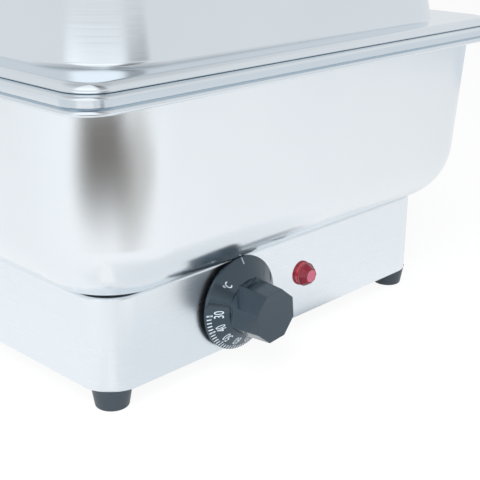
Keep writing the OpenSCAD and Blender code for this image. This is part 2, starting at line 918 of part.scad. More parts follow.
// Tubular element in four runs joined by three half turns
module heating_element() {
    color(SATIN) {
        for (i = [0:3]) {
            outer = i == 0 || i == 3;
            start = outer ? element_front : -element_run / 2;
            translate([-element_x + i * element_pitch, start, element_z])
                rotate([-90, 0, 0])
                    cylinder(r = element_r, h = element_run / 2 - start);
        }
        for (i = [0:2])
            translate([(i - 1) * element_pitch, (i % 2 == 0 ? 1 : -1) * element_run / 2, element_z])
                rotate([0, 0, i % 2 == 0 ? 0 : 180])
                    rotate_extrude(angle = 180)
                        translate([element_pitch / 2, 0])
                            circle(element_r);
    }
}

module element_pins() {
    color(SATIN)
        for (sx = [-1, 1])
            translate([sx * element_x, pin_end, element_z])
                rotate([-90, 0, 0])
                    cylinder(r = element_pin_r, h = element_pin_l);
}

module heater_studs() {
    color(SATIN)
        for (p = heater_studs_at)
            translate(p)
                hole(screw_r, stud_end, base_top - stud_end);
}

module clamp_bars() {
    color(SATIN)
        for (i = [-1:1])
            translate([0, i * bar_pitch, 0])
                difference() {
                    box(bar_l, bar_w, bar_z, bar_t);
                    for (sx = [-1, 1])
                        translate([sx * stud_x, 0, 0])
                            hole(hole_r, bar_z - bar_t, 3 * bar_t);
                }
}

module heater_nuts(z) {
    color(SATIN)
        for (p = heater_studs_at)
            translate([p[0], p[1], z])
                hex_nut();
}

module reflector_spacers() {
    color(ALUMINIUM)
        for (p = heater_studs_at)
            translate(p)
                difference() {
                    hole(spacer_r, reflector_top, spacer_h);
                    hole(hole_r, reflector_top - spacer_h, 3 * spacer_h);
                }
}

module heat_reflector() {
    inner = 2 * reflector_t;
    color(ALUMINIUM)
        difference() {
            box(reflector_w, reflector_l, reflector_z, reflector_t + reflector_lip);
            box(reflector_w - inner, reflector_l - inner, reflector_top, 2 * reflector_lip);
            for (p = heater_studs_at)
                translate(p)
                    hole(hole_r, reflector_z - reflector_t, 3 * reflector_t);
        }
}

cutout_at = [stud_x, -bar_pitch / 2];
function cutout_screws_at() = [for (s = [-1, 1]) cutout_at + [0, s * (cutout_flange / 2 - head_r)]];

module thermal_cutout() {
    flange_w = 2 * head_r;
    color(BLACK)
        translate(cutout_at)
            difference() {
                union() {
                    hole(cutout_r, spreader_z - cutout_h, cutout_h);
                    box(flange_w, cutout_flange, spreader_z - base_sheet, base_sheet);
                }
                for (s = [-1, 1])
                    translate([0, s * (cutout_flange / 2 - head_r), 0])
                        hole(hole_r, spreader_z - 2 * base_sheet, 3 * base_sheet);
            }
}

module cutout_screws() {
    color(SATIN)
        for (p = cutout_screws_at())
            translate([p[0], p[1], spreader_z - base_sheet])
                rotate([180, 0, 0])
                    screw(base_sheet + spreader_t - element_gap, head_r - screw_gap);
}

// Thermostat, with its sensor bulb under the spreader plate

module thermostat_case() {
    color(BLACK)
        on_front(knob_x, knob_z)
            difference() {
                union() {
                    box(stat_w, stat_h, -base_sheet - stat_d, stat_d);
                    hole(bush_r, -2 * base_sheet, 2 * base_sheet + bush_out);
                }
                hole(shaft_r + shaft_gap, -base_sheet - shaft_seat, 2 * shaft_seat);
                for (sx = [-1, 1])
                    translate([sx * stat_screw, 0, 0])
                        hole(hole_r, -base_sheet - shaft_seat / 2, shaft_seat);
            }
}

module thermostat_tabs() {
    color(BRASS)
        for (sx = [-1, 1])
            translate([knob_x + sx * stat_tab_x - tab_w / 2, stat_back, stat_tab_z - tab_t / 2])
                cube([tab_w, tab_l, tab_t]);
}

module thermostat_screws() {
    color(STEEL)
        on_front(knob_x, knob_z)
            for (sx = [-1, 1])
                translate([sx * stat_screw, 0, 0])
                    screw(base_sheet + shaft_seat / 2 - screw_gap);
}

module sensor_bulb() {
    color(BRASS)
        translate([0, bulb_start, bulb_z])
            rotate([-90, 0, 0])
                cylinder(r = bulb_r, h = bulb_l);
}

module capillary_tube() {
    dip_z = reflector_top + reflector_lip + 3 * capillary_r;
    dip_y = -element_run / 2;
    color(BRASS)
        lead([
            [0, bulb_start, bulb_z],
            [0, dip_y + element_pitch / 2, bulb_z],
            [0, dip_y, dip_z],
            [0, dip_y - cold_end, dip_z],
            [knob_x, stat_back + 2 * tab_l, capillary_z],
            [knob_x, stat_back, capillary_z]
        ], capillary_r);
}

// Pilot lamp

module lamp_lens() {
    color(RED)
        on_front(lamp_x, lamp_z) {
            hole(lens_r, 0, lens_flange);
            translate([0, 0, lens_flange]) {
                cylinder(r = lens_base_r, h = lens_side, $fn = 8);
                translate([0, 0, lens_side])
                    cylinder(r1 = lens_base_r, r2 = lens_front_r, h = lens_slope, $fn = 8);
            }
            hole(barrel_r, -base_sheet - lens_barrel, base_sheet + lens_barrel);
        }
}

module lamp_body() {
    color(BLACK)
        on_front(lamp_x, lamp_z)
            hole(barrel_r, -base_sheet - lens_barrel - lamp_body_l, lamp_body_l);
}

module lamp_nut() {
    color(BLACK)
        on_front(lamp_x, lamp_z)
            difference() {
                hole(lamp_nut_r, -base_sheet - nut_h, nut_h);
                hole(barrel_r + screw_gap, -base_sheet - 2 * nut_h, 3 * nut_h);
            }
}

module lamp_tabs() {
    color(BRASS)
        for (sz = [-1, 1])
            translate([lamp_x - barrel_r / 2, lamp_back, lamp_z + (sz * barrel_r - tab_t) / 2])
                cube([barrel_r, tab_l / 2, tab_t]);
}

// Mains inlet; the places of its three blades are seen from behind the object

function blades_at() = [
    [-blade_pitch / 2, blade_drop / 2],
    [blade_pitch / 2, blade_drop / 2],
    [0, -blade_drop / 2]
];

module inlet_socket() {
    slack = 2 * pin_gap;
    color(BLACK)
        on_back(inlet_x, inlet_z)
            difference() {
                union() {
                    linear_extrude(inlet_flange_t)
                        rounded_rect(inlet_flange_w, inlet_flange_h, inlet_flange_t);
                    box(inlet_body_w, inlet_body_h, -base_sheet - inlet_body_d, base_sheet + inlet_body_d);
                }
                translate([0, 0, inlet_flange_t - recess_d])
                    linear_extrude(2 * recess_d)
                        rounded_rect(recess_w, recess_h, inlet_flange_t);
                for (p = blades_at())
                    translate(p)
                        box(blade_w + slack, blade_h + slack, -2 * inlet_body_d, 3 * inlet_body_d);
                for (sx = [-1, 1])
                    translate([sx * inlet_screws_x / 2, 0, 0])
                        hole(hole_r, -inlet_flange_t, 3 * inlet_flange_t);
            }
}

module inlet_blades() {
    tip = inlet_flange_t - recess_d / 6;
    root = -base_sheet - inlet_body_d - tab_l;
    color(BRASS)
        on_back(inlet_x, inlet_z)
            for (p = blades_at())
                translate(p)
                    box(blade_w, blade_h, root, tip - root);
}

module inlet_screws() {
    color(STEEL)
        on_back(inlet_x, inlet_z)
            for (sx = [-1, 1])
                translate([sx * inlet_screws_x / 2, 0, inlet_flange_t])
                    screw(inlet_flange_t + base_sheet + nut_h + base_sheet);
}

module inlet_nuts() {
    color(STEEL)
        on_back(inlet_x, inlet_z)
            for (sx = [-1, 1])
                translate([sx * inlet_screws_x / 2, 0, -base_sheet - nut_h])
                    hex_nut();
}

// Terminal block, earth stud and leads

function block_screws_at() = [for (s = [-1, 1]) block_at + [s * (block_l / 2 - nut_r), 0]];

module terminal_block() {
    color(CERAMIC)
        difference() {
            translate(block_at)
                box(block_l, block_w, floor_top, block_h);
            for (p = block_screws_at())
                translate(p)
                    hole(hole_r, floor_top - block_h / 2, block_h);
        }
}

module block_screws() {
    color(STEEL)
        for (p = block_screws_at())
            translate([p[0], p[1], base_z])
                rotate([180, 0, 0])
                    screw(floor_t + block_h / 2 - base_sheet);
}

module earth_stud() {
    color(BRASS)
        translate(earth_at)
            hole(screw_r, floor_top, lug_t + 2 * nut_h);
}

module earth_lug() {
    color(BRASS)
        translate([earth_at[0], earth_at[1], 0])
            difference() {
                translate([0, lug_l / 2 - lug_w / 2, 0])
                    box(lug_w, lug_l, floor_top, lug_t);
                hole(hole_r, floor_top - lug_t, 3 * lug_t);
            }
}

module earth_nut() {
    color(BRASS)
        translate([earth_at[0], earth_at[1], floor_top + lug_t])
            hex_nut();
}

module supply_leads() {
    color(BROWN)
        for (i = [-1, 1]) {
            from_x = inlet_x + i * blade_pitch / 2;
            from_z = inlet_z + blade_drop / 2;
            side_x = from_x + block_l / 2 + 2 * lead_r;
            to_x = block_at[0] + i * block_l / 4;
            lead([
                [from_x, blade_end, from_z],
                [from_x, blade_end - lead_drop / 2, from_z],
                [from_x, blade_end - lead_drop, run_z],
                [side_x, blade_end - 5 * lead_drop, run_z],
                [side_x, block_at[1] + 4 * lead_drop, run_z],
                [to_x, block_at[1] + block_w / 2 + lead_drop, floor_top + block_h / 2],
                [to_x, block_at[1] + block_w / 2, floor_top + block_h / 2]
            ]);
        }
}

module earth_lead() {
    lug_y = earth_at[1] + lug_l - lug_w;
    color(GREEN)
        lead([
            [inlet_x, blade_end, inlet_z - blade_drop / 2],
            [inlet_x, blade_end - tab_l / 2, inlet_z - blade_drop / 2],
            [inlet_x, blade_end - tab_l / 2, run_z + tab_l],
            [earth_at[0], lug_y, run_z + tab_l],
            [earth_at[0], lug_y, floor_top + lug_t]
        ], lead_r, 5);
}

module heater_leads() {
    turn_y = pin_end - 2 * tab_l;
    stat_x = knob_x - stat_tab_x;
    color(BROWN) {
        lead([
            [stat_x, tab_back, stat_tab_z],
            [stat_x, tab_back + tab_l, stat_tab_z],
            [-element_x - tab_l, tab_back + tab_l, stat_tab_z],
            [-element_x, turn_y, element_z],
            [-element_x, pin_end, element_z]
        ], lead_r, 6);
        lead([
            [element_x, block_at[1], block_top],
            [element_x, block_at[1], block_top + tab_l],
            [element_x, turn_y, block_top + 1.5 * tab_l],
            [element_x, turn_y, element_z],
            [element_x, pin_end, element_z]
        ], lead_r, 5);
    }
}

module control_leads() {
    stat_x = knob_x + stat_tab_x;
    side_z = floor_top + block_h / 3;
    color(BLUE) {
        lead([
            [stat_x, tab_back, stat_tab_z],
            [stat_x, tab_back + tab_l, stat_tab_z],
            [lamp_x, block_at[1] + block_w / 4, run_z],
            [block_left - tab_l, block_at[1] + block_w / 4, side_z],
            [block_left, block_at[1] + block_w / 4, side_z]
        ], lead_r, 6);
        for (s = [-1, 1])
            lead([
                [lamp_x, lamp_back + tab_l / 2, lamp_z + s * barrel_r / 2],
                [lamp_x, lamp_back + tab_l, lamp_z + s * barrel_r / 2],
                [block_left - tab_l, block_at[1] - block_w / 4, side_z + tab_l / 2 * (1 + s)],
                [block_left, block_at[1] - block_w / 4, side_z + tab_l / 2 * (1 + s)]
            ], lead_r / 2, 6);
    }
}

// Hinges

// Outer face of the water pan's right wall at height z
function wall_x(z) = pan_w / 2 - (pan_top - z) * tan(pan_taper);

// Fixed leaf: a foot on the water pan's wall, a step past the bead and an upright that carries the knuckles
module bracket_profile(top) {
    foot_bottom = bracket_wall_z - bracket_foot;
    knee = bracket_wall_z - bracket_t / 2;
    polygon([
        [wall_x(foot_bottom), foot_bottom],
        [wall_x(bracket_wall_z), bracket_wall_z],
        [bracket_x, rim_bottom],
        [bracket_x, top],
        [bracket_x + bracket_t, top],
        [bracket_x + bracket_t, rim_bottom - bracket_t / 2],
        [wall_x(knee) + bracket_t, knee],
        [wall_x(foot_bottom) + bracket_t, foot_bottom]
    ]);
}

// Extrudes a profile drawn in X and Z, centred on y
module across_y(y, length) {
    translate([0, y + length / 2, 0])
        rotate([90, 0, 0])
            linear_extrude(length)
                children();
}

module hinge_bracket(y) {
    whole = knuckle_mid + 2 * (knuckle_end + knuckle_gap);
    color(SATIN)
        difference() {
            union() {
                across_y(y, whole)
                    bracket_profile(hinge_z - knuckle_r - knuckle_gap);
                for (s = [-1, 1])
                    across_y(y + s * (whole - knuckle_end) / 2, knuckle_end) {
                        bracket_profile(hinge_z);
                        translate([hinge_x, hinge_z])
                            circle(knuckle_r);
                    }
            }
            across_y(y, 2 * whole)
                translate([hinge_x, hinge_z])
                    circle(pin_r + pin_gap);
            for (s = [-1, 1])
                translate([0, y + s * rivet_pitch / 2, 0])
                    on_pan_wall()
                        hole(rivet_r + screw_gap / 2, -bracket_t, 4 * bracket_t);
        }
}

module hinge_pins() {
    whole = knuckle_mid + 2 * (knuckle_end + knuckle_gap);
    color(STEEL)
        for (sy = [-1, 1])
            across_y(sy * hinge_y, whole + 2 * knuckle_gap)
                translate([hinge_x, hinge_z])
                    circle(pin_r);
}

// Rivet through a stack of thickness grip; its head stands on z = grip and its tail below z = 0
module rivet(grip) {
    translate([0, 0, grip])
        dome_head(rivet_head_r, rivet_head_h);
    hole(rivet_r, -rivet_tail_h, grip + rivet_tail_h);
    hole(rivet_tail_r, -rivet_tail_h, rivet_tail_h);
}

module bracket_rivets() {
    color(STEEL)
        for (sy = [-1, 1], s = [-1, 1])
            translate([0, sy * hinge_y + s * rivet_pitch / 2, 0])
                on_pan_wall()
                    translate([0, 0, -pan_sheet])
                        rivet(pan_sheet + bracket_t * cos(pan_taper));
}

// Lid leaf, riveted to the lid's shoulder
module hinge_strap(y) {
    color(SATIN)
        difference() {
            union() {
                translate([strap_foot, y - strap_l / 2, shoulder_z])
                    cube([lid_w / 2 - skirt_r - strap_foot, strap_l, strap_t]);
                translate([strap_foot, y - knuckle_mid / 2, shoulder_z])
                    cube([hinge_x - strap_foot, knuckle_mid, strap_t]);
                across_y(y, knuckle_mid)
                    translate([hinge_x, hinge_z])
                        circle(knuckle_r);
            }
            across_y(y, 2 * knuckle_mid)
                translate([hinge_x, hinge_z])
                    circle(pin_r + pin_gap);
            for (s = [-1, 1])
                translate([strap_rivet_x, y + s * rivet_pitch / 2, 0])
                    hole(rivet_r + screw_gap / 2, shoulder_z - strap_t, 3 * strap_t);
        }
}

module strap_rivets() {
    color(STEEL)
        for (sy = [-1, 1], s = [-1, 1])
            translate([strap_rivet_x, sy * hinge_y + s * rivet_pitch / 2, shoulder_z - lid_sheet])
                rivet(lid_sheet + strap_t);
}

// Lid

module skirt_profile() {
    translate([-skirt_r, lid_edge])
        arc_band(skirt_r, lid_sheet, 0, 90);
}

module lid() {
    roll = 2 * skirt_r;
    color(STEEL)
        difference() {
            union() {
                carried_round(lid_w, lid_l, lid_corner_r)
                    skirt_profile();
                difference() {
                    plate(lid_w - roll, lid_l - roll, lid_corner_r - skirt_r,
                        shoulder_z - lid_sheet, lid_sheet);
                    plate(dome_w - lid_sheet, dome_l - lid_sheet, dome_corner_r - lid_sheet / 2,
                        shoulder_z - 2 * lid_sheet, 3 * lid_sheet);
                }
                translate([0, 0, dome_top])
                    mirror([0, 0, 1])
                        drawn_shell(dome_w, dome_l, dome_corner_r, dome_h + lid_sheet, dome_draft,
                            dome_top_r, lid_sheet);
            }
            for (sy = [-1, 1]) {
                translate([-handle_x, sy * handle_l / 2, 0])
                    hole(hole_r, dome_top - 2 * lid_sheet, 3 * lid_sheet);
                for (s = [-1, 1])
                    translate([strap_rivet_x, sy * hinge_y + s * rivet_pitch / 2, 0])
                        hole(rivet_r + screw_gap / 2, shoulder_z - 2 * lid_sheet, 3 * lid_sheet);
            }
        }
}

// Bow handle: a grip along Y, two bends and two legs
module lid_handle() {
    leg_z = dome_top + collar_h;
    axis_z = dome_top + handle_rise;
    color(BLACK)
        translate([-handle_x, 0, 0])
            difference() {
                union() {
                    translate([0, handle_l / 2 - handle_bend_r, axis_z])
                        rotate([90, 0, 0])
                            cylinder(r = handle_r, h = handle_l - 2 * handle_bend_r);
                    for (a = [0, 180])
                        rotate([0, 0, a]) {
                            translate([0, handle_l / 2 - handle_bend_r, axis_z - handle_bend_r])
                                rotate([90, 0, 90])
                                    rotate_extrude(angle = 90)
                                        translate([handle_bend_r, 0])
                                            circle(handle_r);
                            translate([0, handle_l / 2, leg_z])
                                cylinder(r = handle_r, h = axis_z - handle_bend_r - leg_z);
                        }
                }
                for (sy = [-1, 1])
                    translate([0, sy * handle_l / 2, 0])
                        hole(hole_r, leg_z - handle_hole, 2 * handle_hole);
            }
}

module handle_collars() {
    color(STEEL)
        for (sy = [-1, 1])
            translate([-handle_x, sy * handle_l / 2, dome_top])
                difference() {
                    cylinder(r1 = collar_r, r2 = handle_r, h = collar_h);
                    hole(hole_r, -collar_h, 3 * collar_h);
                }
}

module handle_screws() {
    color(STEEL)
        for (sy = [-1, 1])
            translate([-handle_x, sy * handle_l / 2, dome_top - lid_sheet])
                rotate([180, 0, 0])
                    screw(lid_sheet + collar_h + handle_hole - base_sheet);
}

// Control knob, with the thermostat's shaft in its hub

module shaft_profile(gap) {
    reach = 2 * shaft_r;
    difference() {
        circle(shaft_r + gap);
        translate([-reach, shaft_r - shaft_flat + gap])
            square(2 * reach);
    }
}

module control_knob() {
    grip_flat = grip_root_r * cos(OCTAGON_HALF);
    grip_h = dial_t / 2 + grip_l;
    color(BLACK)
        on_front(knob_x, knob_z)
            difference() {
                union() {
                    hole(dial_r, dial_gap, dial_t);
                    translate([0, 0, dial_front])
                        cylinder(r1 = dial_r, r2 = grip_flat, h = dial_rise);
                    translate([0, 0, dial_gap + dial_t / 2])
                        intersection() {
                            rotate([0, 0, OCTAGON_HALF + grip_turn])
                                cylinder(r1 = grip_root_r, r2 = grip_r, h = grip_h, $fn = 8);
                            cylinder(r1 = grip_r - grip_chamfer + grip_h, r2 = grip_r - grip_chamfer, h = grip_h);
                        }
                }
                difference() {
                    hole(dial_r - dial_rim, dial_gap - dial_hollow, 2 * dial_hollow);
                    hole(hub_r, dial_gap - 2 * dial_hollow, 4 * dial_hollow);
                }
                translate([0, 0, dial_gap - shaft_grip])
                    linear_extrude(2 * shaft_grip)
                        shaft_profile(shaft_gap);
            }
}

module thermostat_shaft() {
    end = shaft_gap - base_sheet - shaft_seat;
    knob_end = dial_gap + shaft_grip - shaft_gap;
    color(BRASS)
        on_front(knob_x, knob_z) {
            hole(shaft_r, end, dial_gap - end);
            translate([0, 0, dial_gap])
                linear_extrude(knob_end - dial_gap)
                    shaft_profile(0);
        }
}

base_housing();
base_floor();
floor_screws();
foot(0);  // foot_front_left
foot(1);  // foot_front_right
foot(2);  // foot_rear_left
foot(3);  // foot_rear_right
foot_screws();
foot_nuts();
water_pan();
rim_frame();
food_pan();
pan_studs();
pan_nuts();
heat_spreader();
heating_element();
element_pins();
heater_studs();
clamp_bars();
heater_nuts(bar_z - nut_h);  // clamp_nuts
reflector_spacers();
heat_reflector();
heater_nuts(reflector_z - nut_h);  // reflector_nuts
thermal_cutout();
cutout_screws();
thermostat_case();
thermostat_tabs();
thermostat_screws();
sensor_bulb();
capillary_tube();
lamp_lens();
lamp_body();
lamp_nut();
lamp_tabs();
inlet_socket();
inlet_blades();
inlet_screws();
inlet_nuts();
terminal_block();
block_screws();
earth_stud();
earth_lug();
earth_nut();
supply_leads();
earth_lead();
heater_leads();
control_leads();
hinge_bracket(-hinge_y);  // hinge_bracket_front
hinge_bracket(hinge_y);  // hinge_bracket_rear
hinge_pins();
bracket_rivets();
lid();
hinge_strap(-hinge_y);  // hinge_strap_front
hinge_strap(hinge_y);  // hinge_strap_rear
strap_rivets();
lid_handle();
handle_collars();
handle_screws();
control_knob();
thermostat_shaft();
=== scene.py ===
"""Looks, light and camera of an electric chafing dish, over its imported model.

Sizes are in millimetres, as in the part's source, and become metres where a mesh is made.
"""

from __future__ import annotations

import json
import logging
import math
from collections.abc import Callable, Mapping, Sequence
from dataclasses import dataclass, field
from enum import Enum

import bmesh
import bpy
from mathutils import Matrix, Vector

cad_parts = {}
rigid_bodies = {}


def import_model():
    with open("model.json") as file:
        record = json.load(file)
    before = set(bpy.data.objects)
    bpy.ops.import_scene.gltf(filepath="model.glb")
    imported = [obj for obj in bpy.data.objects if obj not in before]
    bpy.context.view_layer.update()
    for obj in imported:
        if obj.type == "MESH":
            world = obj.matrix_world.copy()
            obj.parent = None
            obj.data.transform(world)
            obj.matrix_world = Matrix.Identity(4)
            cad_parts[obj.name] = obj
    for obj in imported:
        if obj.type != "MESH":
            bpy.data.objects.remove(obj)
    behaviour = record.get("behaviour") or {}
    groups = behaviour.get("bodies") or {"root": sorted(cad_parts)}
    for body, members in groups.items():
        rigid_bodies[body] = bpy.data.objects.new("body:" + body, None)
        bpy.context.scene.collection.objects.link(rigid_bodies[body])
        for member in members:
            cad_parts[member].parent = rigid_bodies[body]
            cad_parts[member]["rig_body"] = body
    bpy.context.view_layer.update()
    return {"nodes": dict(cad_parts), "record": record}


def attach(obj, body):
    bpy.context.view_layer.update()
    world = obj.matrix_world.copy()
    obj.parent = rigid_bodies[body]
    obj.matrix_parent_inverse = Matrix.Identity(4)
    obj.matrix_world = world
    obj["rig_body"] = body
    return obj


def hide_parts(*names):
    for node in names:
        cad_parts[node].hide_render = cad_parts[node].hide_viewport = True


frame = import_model()

MM = 0.001
# Facets of round corners and of bends, and the angle in degrees from which an edge stays sharp
CORNER_STEPS = 24
BEND_STEPS = 16
SMALL_BEND_STEPS = 6
SHARP = 35.0
# Distances in metres that count as none, and what marks the flat round end of a piece
MERGE = 1e-6
NEAR = 10 * MERGE
FLAT = 0.99
QUAD = 4
# The range that most of a noise pattern lies in
NOISE_LOW, NOISE_HIGH = 0.3, 0.7
# Sides of a card and of one that glows outside, before they are scaled to their reach
CARD_SIDE, SURROUND_SIDE = 2.0, 16.0
# What pieces share, in mm: the knob's and the lamp's axes as x and z, and the panel's y
KNOB_AT = (-44.0, 40.6)
LAMP_AT = (13.5, 42.0)
PANEL_Y = -242.5
LOG = logging.getLogger("chafing_dish")
Piece = bpy.types.Object
Tree = bpy.types.NodeTree
Socket = bpy.types.NodeSocket
Pair = tuple[float, float]
Triple = tuple[float, float, float]


class Body(Enum):
    """The bodies that pieces ride on."""

    BASE = "base"
    LID = "lid"
    KNOB = "knob"


class Slot(Enum):
    """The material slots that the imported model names."""

    POLISHED = "polished_steel"
    SATIN = "satin_steel"
    FASTENER = "fastener_steel"
    RUBBER = "foot_rubber"
    ALUMINIUM = "aluminium_sheet"
    BLACK = "black_plastic"
    KNOB = "knob_plastic"
    BRASS = "brass"
    LENS = "red_lens"
    CERAMIC = "block_ceramic"
    BROWN = "brown_lead"
    GREEN = "green_lead"
    BLUE = "blue_lead"


# Finishes


def linear(code: str) -> tuple[float, float, float, float]:
    """Turns an sRGB hex value into linear colour.

    Args:
        code: Hex value such as "#d9dde1".

    Returns:
        Red, green, blue and alpha, linear.
    """
    parts = [int(code[i : i + 2], 16) / 255 for i in (1, 3, 5)]
    red, green, blue = (p / 12.92 if p <= 0.04045 else ((p + 0.055) / 1.055) ** 2.4 for p in parts)
    return red, green, blue, 1.0


def add_node(
    tree: Tree,
    kind: str,
    values: Mapping[str | int, object] | None = None,
    links: Mapping[str | int, Socket] | None = None,
) -> bpy.types.Node:
    """Adds a node with its settings and links.

    Args:
        tree: The node tree of a material or world.
        kind: The node's type, without the prefix that all of them have.
        values: Settings of the node, or values of its input sockets.
        links: Sockets that feed its inputs.

    Returns:
        The new node.
    """
    node = tree.nodes.new(f"ShaderNode{kind}")
    for key, value in (values or {}).items():
        if isinstance(key, str) and hasattr(node, key):
            setattr(node, key, value)
        else:
            node.inputs[key].default_value = value
    for key, socket in (links or {}).items():
        tree.links.new(socket, node.inputs[key])
    return node


def bare_material(name: str) -> bpy.types.Material:
    """Makes a material for the studio, with no nodes yet.

    Args:
        name: Its name.

    Returns:
        The material.
    """
    made = bpy.data.materials.new(name)
    made.use_nodes = True
    made.node_tree.nodes.clear()
    return made


@dataclass(frozen=True)
class Finish:
    """A material: what it is, its surface, and the shade that its colour drifts to."""

    name: str
    colour: str
    roughness: float
    metallic: float = 0.0
    shade: str = field(kw_only=True)

    def material(self) -> bpy.types.Material:
        """Gives the material, which is made the first time it is asked for.

        Returns:
            The material.
        """
        made = bpy.data.materials.get(self.name)
        if made is not None:
            return made
        made = bpy.data.materials.new(self.name)
        made.use_nodes = True
        shader = made.node_tree.nodes["Principled BSDF"]
        for name, value in self.settings().items():
            shader.inputs[name].default_value = value
        for name, socket in self.pattern(made.node_tree).items():
            made.node_tree.links.new(socket, shader.inputs[name])
        return made

    def settings(self) -> dict[str, object]:
        """Returns the shader's plain values, by the name of its input."""
        plain = {"Roughness": self.roughness, "Metallic": self.metallic}
        return plain | {"Base Color": linear(self.colour)}

    def pattern(self, tree: Tree) -> dict[str, Socket]:
        """Returns the sockets that feed the shader; a plain finish has none."""
        return {}

    def drift(self, tree: Tree, share: Socket) -> dict[str, Socket]:
        """Lets a pattern carry the colour over to its shade.

        Args:
            tree: The material's node tree.
            share: The pattern.

        Returns:
            The socket that feeds the shader, by the name of its input.
        """
        ends = {"data_type": "RGBA", 6: linear(self.colour), 7: linear(self.shade)}
        tint = add_node(tree, "Mix", ends, {0: share})
        return {"Base Color": tint.outputs[2]}


@dataclass(frozen=True)
class Grained(Finish):
    """A finish with a grain: its width and depth in mm, and how far the roughness varies."""

    grain: float = 0.9
    depth: float = 0.0012
    rough_span: float = 0.03

    def worked(self, tree: Tree, relief: Socket, gloss: Socket, share: Socket) -> dict[str, Socket]:
        """Lets patterns change the relief, the roughness and the colour.

        Args:
            tree: The material's node tree.
            relief: The pattern that stands out.
            gloss: The pattern that changes the roughness.
            share: The pattern that carries the colour over to its shade.

        Returns:
            The sockets that feed the shader, by the name of its input.
        """
        ends = {
            "From Min": NOISE_LOW,
            "From Max": NOISE_HIGH,
            "To Min": self.roughness - self.rough_span,
            "To Max": self.roughness + self.rough_span,
        }
        rough = add_node(tree, "MapRange", ends, {"Value": gloss})
        bump = add_node(tree, "Bump", {"Distance": self.depth * MM}, {"Height": relief})
        fed = {"Roughness": rough.outputs["Result"], "Normal": bump.outputs["Normal"]}
        return fed | self.drift(tree, share)


@dataclass(frozen=True)
class BrushedSheet(Grained):
    """Metal sheet with a grain that runs level round the dish, and the faint clouds of handling."""

    metallic: float = 1.0
    run: float = 90.0
    cloud: float = 70.0

    def pattern(self, tree: Tree) -> dict[str, Socket]:
        """Adds the grain to gloss and relief, and the clouds to the colour.

        Args:
            tree: The material's node tree.

        Returns:
            The sockets that feed the shader, by the name of its input.
        """
        place = add_node(tree, "TexCoord").outputs["Object"]
        along, across = 1 / (self.run * MM), 1 / (self.grain * MM)
        drawn = add_node(tree, "Mapping", {"Scale": (along, along, across)}, {"Vector": place})
        lines = {"Scale": 1.0, "Detail": 3.0}
        grain = add_node(tree, "TexNoise", lines, {"Vector": drawn.outputs["Vector"]}).outputs[0]
        spots = {"Scale": 1 / (self.cloud * MM), "Detail": 1.0}
        cloud = add_node(tree, "TexNoise", spots, {"Vector": place}).outputs[0]
        return self.worked(tree, grain, grain, cloud)


@dataclass(frozen=True)
class Moulded(Grained):
    """Moulded plastic, rubber or ceramic: an eroded skin with slight scuffs."""

    grain: float = 0.6
    depth: float = 0.004
    rough_span: float = 0.06
    bend: float = 1.5
    gloss: str = "#ffffff"
    scuff: float = 14.0

    def settings(self) -> dict[str, object]:
        """Returns the shader's values, with the moulding's own refraction and colour of gloss."""
        return super().settings() | {"IOR": self.bend, "Specular Tint": linear(self.gloss)}

    def pattern(self, tree: Tree) -> dict[str, Socket]:
        """Adds the skin's relief, and scuffs that change its gloss and colour.

        Args:
            tree: The material's node tree.

        Returns:
            The sockets that feed the shader, by the name of its input.
        """
        place = add_node(tree, "TexCoord").outputs["Object"]
        pits = {"Scale": 1 / (self.grain * MM), "Detail": 2.0}
        skin = add_node(tree, "TexNoise", pits, {"Vector": place}).outputs[0]
        rubs = {"Scale": 1 / (self.scuff * MM), "Detail": 4.0}
        scuff = add_node(tree, "TexNoise", rubs, {"Vector": place}).outputs[0]
        return self.worked(tree, skin, scuff, scuff)


@dataclass(frozen=True)
class LensPlastic(Finish):
    """Clear plastic coloured through, with the flow marks of its moulding."""

    clear: float = 0.35
    bend: float = 1.58
    swirl: float = 3.0

    def settings(self) -> dict[str, object]:
        """Returns the shader's values, with the share of light that goes through."""
        return super().settings() | {"Transmission Weight": self.clear, "IOR": self.bend}

    def pattern(self, tree: Tree) -> dict[str, Socket]:
        """Adds the flow marks to the colour.

        Args:
            tree: The material's node tree.

        Returns:
            The sockets that feed the shader, by the name of its input.
        """
        place = add_node(tree, "TexCoord").outputs["Object"]
        marks = {"Scale": 1 / (self.swirl * MM), "Detail": 2.0}
        flow = add_node(tree, "TexNoise", marks, {"Vector": place})
        return self.drift(tree, flow.outputs[0])


# Real grains of 0.05 to 0.2 mm are too fine to show, so all are drawn 0.3 to 0.9 mm wide

# Deep-drawn stainless sheet, polished on a wheel: near white, with soft even reflections
PAN_STEEL = BrushedSheet(
    "drawn stainless steel", "#edf2f6", 0.17, shade="#e8eef2",
    grain=0.4, depth=0.00005, rough_span=0.01,
)
# Stainless sheet brushed level and fine: pale, with wide soft reflections
BOX_STEEL = BrushedSheet(
    "fine-brushed stainless steel", "#ecf2f6", 0.28, shade="#e9eff4",
    grain=0.5, depth=0.00002, rough_span=0.008,
)
# Pressed lid and rim, brighter polished with a level grain: clearer reflections, finely streaked
LID_STEEL = BrushedSheet(
    "polished stainless steel", "#e6ecf1", 0.14, shade="#e0e7ec",
    grain=0.6, depth=0.0002, rough_span=0.05,
)
# Mill-finish stainless plate: a dull even grey
SATIN_STEEL = BrushedSheet(
    "mill-finish stainless steel", "#c6cbd0", 0.36, shade="#b8bec4", depth=0.004
)
# Bright zinc-plated steel of screws, nuts and rivets: a grey gloss with cloudy spots
PLATED_STEEL = BrushedSheet(
    "zinc-plated steel", "#c9cdd2", 0.26, shade="#b3b9bf", grain=0.5, run=0.5, cloud=4.0
)
# Rolled aluminium sheet: pale, soft gloss
ALUMINIUM = BrushedSheet("rolled aluminium", "#c4c7ca", 0.34, shade="#b4b8bb", depth=0.004)
